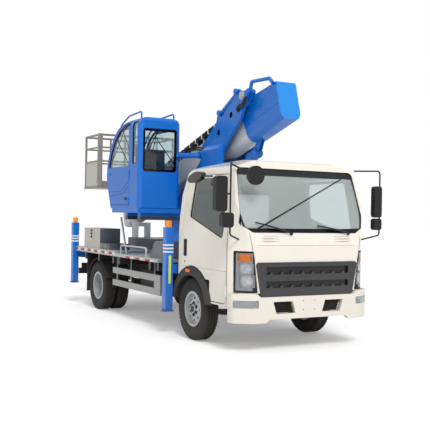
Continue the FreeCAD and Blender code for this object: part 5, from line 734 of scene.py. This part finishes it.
class TRUCK_OT_cab_fittings(bpy.types.Operator):
    """Add door handles, bumper inlet slats, fog lamp plates and covers, seam shadow lines and mirror glass to the
    truck's cab
    """
    bl_idname = "truck.cab_fittings"
    bl_label = "Cab fittings"

    def fog_lamps(self):
        """A bright back plate and a clear cover in each recess of the bumper."""
        for name, depth, wall, inset, look in (
                ("fog_reflectors", 0.022, 0.004, 0.001, finish("Fog lamp silver", rgb(172, 175, 178), 0.2, metallic=0.8,
                                                               dust=0.1, ripple=0.05, ripple_scale=120.0)),
                ("fog_covers", 0.005, 0.003, 0.004, finish("Fog lamp cover", rgb(225, 230, 232), 0.05, coat=0.3,
                                                           dust=0.05, ripple=0.0, transmission=0.8))):
            form = bmesh.new()
            for sign in (-1, 1):
                outline = []
                for off in (depth, depth + wall):
                    bend = Vector((1.120 - off, 0.780 - 0.314 * off))
                    far = (0.965 - inset - bend.y) / 0.820
                    row = [(bend.x, 0.700 + inset), tuple(bend), (bend.x - 0.572 * far, bend.y + 0.820 * far)]
                    outline += row if off == depth else list(reversed(row))
                add_plate(form, [lambda z, x=x, y=y: place(x, sign * y, z) for x, y in outline], 0.525 + inset,
                          0.610 - inset)
            settle(name, form, look, "truck", recalc=True)

    def seams(self):
        """Dark panel lines and pressed vents on the cab's front."""
        skin = surface("cab_shell")
        dark = finish("Seam shadow", rgb(122, 115, 104), 0.7, dust=0.2, ripple=0.02)
        runs = []
        for sign in (-1, 1):
            spots = line_between([place(1.3, sign * y, z) for y, z in ((0.796, 1.385), (0.783, 1.254), (0.742, 1.06))])
            runs.append(laid(skin, spots, (-1, 0, 0), 0.0005))
            for z in (1.283, 1.315, 1.347):
                spots = line_between([place(1.3, sign * 0.40, z), place(1.3, sign * 0.62, z)], 4)
                runs.append(laid(skin, spots, (-1, 0, 0), -0.0004))
        spots = line_between([place(1.3, -0.76, 1.240), place(1.3, 0.76, 1.240)], 16)
        runs.append(laid(skin, spots, (-1, 0, 0), -0.0008))
        tube("cab_seams", [run for run in runs if len(run) > 2], 0.0022, dark, "truck", sides=1)

    def execute(self, context):
        black = finish("Handle plastic", rgb(18, 18, 19), 0.38, dust=0.1, ripple=0.1, ripple_scale=400.0)
        for side, sign in (("left", 1), ("right", -1)):
            form = bmesh.new()
            low = place(-0.256, sign * 0.962, 1.056)
            high = place(-0.211, sign * 0.988, 1.269)
            add_slab(form, (low.x, min(low.y, high.y), low.z), (high.x, max(low.y, high.y), high.z), 0.008, 3)
            add_round(form, place(-0.234, sign * 0.974, 0.985), (0, sign, 0), 0.012, 0.006, steps=20, edge=0.002)
            settle("door_handle_" + side, form, black, "door_" + side)
        silver = finish("Mirror silver", rgb(225, 228, 230), 0.03, metallic=1.0, dust=0.0, ripple=0.0)
        form = bmesh.new()
        for x, near, far, low, high in ((0.905, 1.137, 1.257, 1.587, 1.987), (0.905, 1.137, 1.257, 1.425, 1.575),
                                        (1.030, -1.257, -1.107, 1.622, 2.022), (1.030, -1.174, -1.024, 1.442, 1.612)):
            add_slab(form, place(x - 0.0395, near + 0.016, low + 0.016), place(x - 0.0365, far - 0.016, high - 0.016),
                     0.0012, 1)
        grille = finish("Inlet plastic", rgb(20, 21, 22), 0.5, dust=0.3, dust_height=1.0, ripple=0.05)
        slats = bmesh.new()
        for sign in (-1, 1):
            for step in range(7):
                low = 0.458 + step * 0.019
                lean = 0.045 * (low - 0.450) / 0.140
                ends = sorted((sign * (0.192 + lean), sign * (0.456 + lean)))
                add_slab(slats, place(1.062, ends[0], low), place(1.084, ends[1], low + 0.007), 0.002, 1)
                add_slab(slats, place(1.050, ends[0], low - 0.006), place(1.056, ends[1], low + 0.0125), 0.0015, 1)
        settle("bumper_inlets", slats, grille, "truck")
        self.fog_lamps()
        self.seams()
        settle("mirror_glass", form, silver, "truck")
        return {"FINISHED"}


class TRUCK_OT_turret_fittings(bpy.types.Operator):
    """Bolt the turntable down, run the hoses and hang the levelling cylinder"""
    bl_idname = "truck.turret_fittings"
    bl_label = "Turret fittings"

    def door_lines(self):
        """Painted shade along the pressed lines of the operator's door, as darker blue tubes, and a latch."""
        skin = surface("operator_door")
        # Darker blue than the door: painted shade in the creases.
        dark = finish("Pressed line", rgb(6, 62, 122), 0.6, dust=0.1, ripple=0.02)
        runs = []
        for places in (((-2.66, 1.912), (-2.206, 1.916), (-1.93, 2.05)), ((-2.64, 1.850), (-2.139, 1.882), (-1.93, 1.98))):
            spots = line_between([place(x, -1.3, z) for x, z in places])
            runs.append(laid(skin, spots, (0, 1, 0), -0.0006))
        tube("door_crease_shade", [run for run in runs if len(run) > 2], 0.0035, dark, "operator_door",
             sides=1)
        black = finish("Latch plastic", rgb(16, 16, 17), 0.4, dust=0.1, ripple=0.02)
        form = bmesh.new()
        add_round(form, place(-2.0, -1.089, 1.800), (0, -1, 0), 0.024, 0.006, steps=28, edge=0.002)
        add_slab(form, place(-2.012, -1.101, 1.782), place(-1.988, -1.095, 1.818), 0.002, 2)
        settle("door_latch", form, black, "operator_door")

    def hung_cylinder(self):
        """The levelling cylinder under the boom's nose, on its bracket."""
        def spot(u, v, y=0.0):
            return place(-0.098 + 0.9598 * u - 0.2807 * v, y, 3.155 + 0.2807 * u + 0.9598 * v)
        blue = bpy.data.materials["Platform blue paint"]
        along = (spot(0.0, 0.0) - spot(-1.0, 0.0)).normalized()
        form = bmesh.new()
        add_round(form, spot(-0.400, -0.717), along, 0.070, 0.206, steps=48)
        add_round(form, spot(-0.196, -0.717), along, 0.072, 0.030, steps=48, edge=0.012)
        add_round(form, spot(-0.300, -0.717), along, 0.076, 0.014, steps=48, edge=0.004)
        outline = [(-0.130, -0.585), (-0.020, -0.585), (-0.120, -0.700), (-0.320, -0.700), (-0.320, -0.668)]
        for low, high in ((-0.030, -0.018), (0.018, 0.030)):
            add_plate(form, [lambda y, u=u, v=v: spot(u, v, y) for u, v in outline], low, high)
        settle("levelling_cylinder", form, blue, "boom", recalc=True)

    def execute(self, context):
        steel = finish("Zinc bolt", rgb(160, 162, 165), 0.35, metallic=0.9, dust=0.2, ripple=0.0)
        form = bmesh.new()
        centre = place(-1.900, 0, 1.550)
        for step in range(24):
            turn = math.tau * (step + 0.5) / 24
            spot = centre + Vector((0.435 * math.cos(turn), 0.435 * math.sin(turn), 0.0))
            if abs(spot.y) < 0.33:
                continue
            add_bolt(form, spot, (0, 0, 1), 0.011, 0.016)
        settle("turntable_bolts", form, steel, "turret")
        rubber = finish("Hose rubber", rgb(20, 20, 21), 0.5, dust=0.2, ripple=0.2, ripple_scale=400.0)
        hoses = []
        for offset in (0.0, 0.032):
            hoses.append([place(-0.195 + offset, -0.255, 2.955), place(-0.190 + offset, -0.275, 2.99),
                          place(-0.120 + offset, -0.283, 3.030 - offset), place(-0.010 + offset, -0.283, 3.030 - offset),
                          place(0.030 + offset, -0.270, 3.120)])
            hoses.append([place(-1.480, -0.400, 2.480 + offset), place(-1.36, -0.40, 2.50 + offset),
                          place(-1.24, -0.335, 2.520 + offset), place(-1.10, -0.275, 2.500 + offset),
                          place(-1.02, -0.262, 2.470 + offset)])
        tube("turret_hoses", hoses, 0.013, rubber, "turret")
        self.door_lines()
        self.hung_cylinder()
        return {"FINISHED"}


class TRUCK_OT_deck_fittings(bpy.types.Operator):
    """Add the switches, latches and edge bolts of the deck"""
    bl_idname = "truck.deck_fittings"
    bl_label = "Deck fittings"

    def execute(self, context):
        black = finish("Switch plastic", rgb(20, 20, 22), 0.35, dust=0.1, ripple=0.0)
        form = bmesh.new()
        for z in (1.290, 1.238, 1.186):
            add_round(form, place(-3.705, -0.985, z), (0, -1, 0), 0.021, 0.008, steps=32, edge=0.003)
            add_round(form, place(-3.705, -0.993, z), (0, -1, 0), 0.014, 0.012, steps=24, edge=0.004)
        settle("cabinet_switches", form, black, "truck")
        steel = finish("Latch steel", rgb(170, 172, 175), 0.3, metallic=0.9, dust=0.2, ripple=0.0)
        form = bmesh.new()
        for x in (-3.20, -3.00):
            add_slab(form, place(x - 0.03, -0.995, 1.040), place(x + 0.03, -0.985, 1.080), 0.003, 2)
            add_slab(form, place(x - 0.008, -1.005, 1.026), place(x + 0.008, -0.995, 1.070), 0.003, 2)
        for step in range(14):
            x = -4.35 + step * 0.133
            add_bolt(form, place(x, -1.030, 0.930), (0, -1, 0), 0.006, 0.006)
            add_bolt(form, place(x, 1.030, 0.930), (0, 1, 0), 0.006, 0.006)
        settle("deck_latches", form, steel, "truck")
        return {"FINISHED"}


class TRUCK_OT_stage(bpy.types.Operator):
    """Set the floor, the lights and the photo's camera"""
    bl_idname = "truck.stage"
    bl_label = "Stage"

    def execute(self, context):
        scene = context.scene
        form = bmesh.new()
        bmesh.ops.create_grid(form, x_segments=2, y_segments=2, size=60.0)
        mesh = bpy.data.meshes.new("floor")
        form.to_mesh(mesh)
        form.free()
        floor = bpy.data.objects.new("floor", mesh)
        scene.collection.objects.link(floor)
        material = bpy.data.materials.new("Studio floor")
        material.use_nodes = True
        tree = material.node_tree
        tree.nodes.clear()
        spot = node(tree, "ShaderNodeTexCoord").outputs["Object"]
        cloud = node(tree, "ShaderNodeTexNoise", {"Vector": spot, "Scale": 0.6, "Detail": 2.0})
        tone = blend_colour(tree, cloud.outputs[0], (0.80, 0.80, 0.80, 1.0), (0.84, 0.84, 0.84, 1.0))
        matte = node(tree, "ShaderNodeBsdfDiffuse", {"Color": tone})
        path = node(tree, "ShaderNodeLightPath")
        glow = node(tree, "ShaderNodeEmission", {"Color": (1, 1, 1, 1),
                                                 "Strength": calc(tree, "MULTIPLY",
                                                                  path.outputs["Is Camera Ray"], 0.25)})
        both = node(tree, "ShaderNodeAddShader", {0: matte.outputs[0], 1: glow.outputs[0]})
        node(tree, "ShaderNodeOutputMaterial", {"Surface": both.outputs[0]})
        mesh.materials.append(material)

        world = bpy.data.worlds.new("Studio")
        scene.world = world
        world.use_nodes = True
        tree = world.node_tree
        tree.nodes.clear()
        path = node(tree, "ShaderNodeLightPath")
        seen = calc(tree, "MAXIMUM", path.outputs["Is Camera Ray"], path.outputs["Is Transmission Ray"])
        strength = calc(tree, "ADD", calc(tree, "MULTIPLY", seen, 0.4), 0.6)
        sky = node(tree, "ShaderNodeBackground", {"Color": (1, 1, 1, 1), "Strength": strength})
        node(tree, "ShaderNodeOutputWorld", {"Surface": sky.outputs[0]})

        for name, direction, power, angle in (("key", (0.9, -0.22, 1.0), 1.9, 20), ("side", (-0.2, -1.0, 0.6), 0.12, 40)):
            lamp = bpy.data.lights.new(name, "SUN")
            lamp.energy = power
            lamp.angle = math.radians(angle)
            made = bpy.data.objects.new(name, lamp)
            made.rotation_mode = "QUATERNION"
            made.rotation_quaternion = Vector(direction).to_track_quat("Z", "Y")
            scene.collection.objects.link(made)

        camera = bpy.data.cameras.new("camera")
        camera.sensor_width = 36.0
        camera.lens = 755.63 / 430 * 36
        camera.clip_start, camera.clip_end = 0.1, 500
        holder = bpy.data.objects.new("camera", camera)
        scene.collection.objects.link(holder)
        yaw, pitch, roll = 2.6363, -0.001, 0.0181
        ahead = Vector((math.cos(yaw) * math.cos(pitch), math.sin(yaw) * math.cos(pitch), -math.sin(pitch)))
        right = Vector((math.sin(yaw), -math.cos(yaw), 0.0))
        up = right.cross(ahead)
        turned_right = right * math.cos(roll) + up * math.sin(roll)
        turned_up = up * math.cos(roll) - right * math.sin(roll)
        basis = Matrix((turned_right, turned_up, -ahead)).transposed().to_4x4()
        holder.matrix_world = Matrix.Translation(Vector((8.4051 + datum_x, -5.3253, 1.5727))) @ basis
        scene.camera = holder
        scene.view_settings.view_transform = "Standard"
        return {"FINISHED"}


class TRUCK_PT_panel(bpy.types.Panel):
    """The truck's pieces, sizes and colours"""
    bl_idname = "TRUCK_PT_panel"
    bl_label = "Cherry picker truck"
    bl_space_type = "VIEW_3D"
    bl_region_type = "UI"
    bl_category = "Truck"

    def draw(self, context):
        column = self.layout.column(align=True)
        for holder in (context.scene.truck_colours, context.scene.truck_sizes):
            for key in holder.__annotations__:
                column.prop(holder, key)
        for step in steps:
            column.operator(step.bl_idname)


steps = (TRUCK_OT_finishes, TRUCK_OT_tyres, TRUCK_OT_wheel_nuts, TRUCK_OT_gaskets, TRUCK_OT_wipers,
         TRUCK_OT_cab_fittings, TRUCK_OT_turret_fittings, TRUCK_OT_deck_fittings, TRUCK_OT_stage)
classes = (TruckColours, TruckSizes) + steps + (TRUCK_PT_panel,)


def register():
    for entry in classes:
        bpy.utils.register_class(entry)
    bpy.types.Scene.truck_colours = bpy.props.PointerProperty(type=TruckColours)
    bpy.types.Scene.truck_sizes = bpy.props.PointerProperty(type=TruckSizes)


def unregister():
    del bpy.types.Scene.truck_sizes
    del bpy.types.Scene.truck_colours
    for entry in reversed(classes):
        bpy.utils.unregister_class(entry)


def main():
    register()
    for step in steps:
        area, name = step.bl_idname.split(".")
        getattr(getattr(bpy.ops, area), name)()


if __name__ == "__main__":
    main()
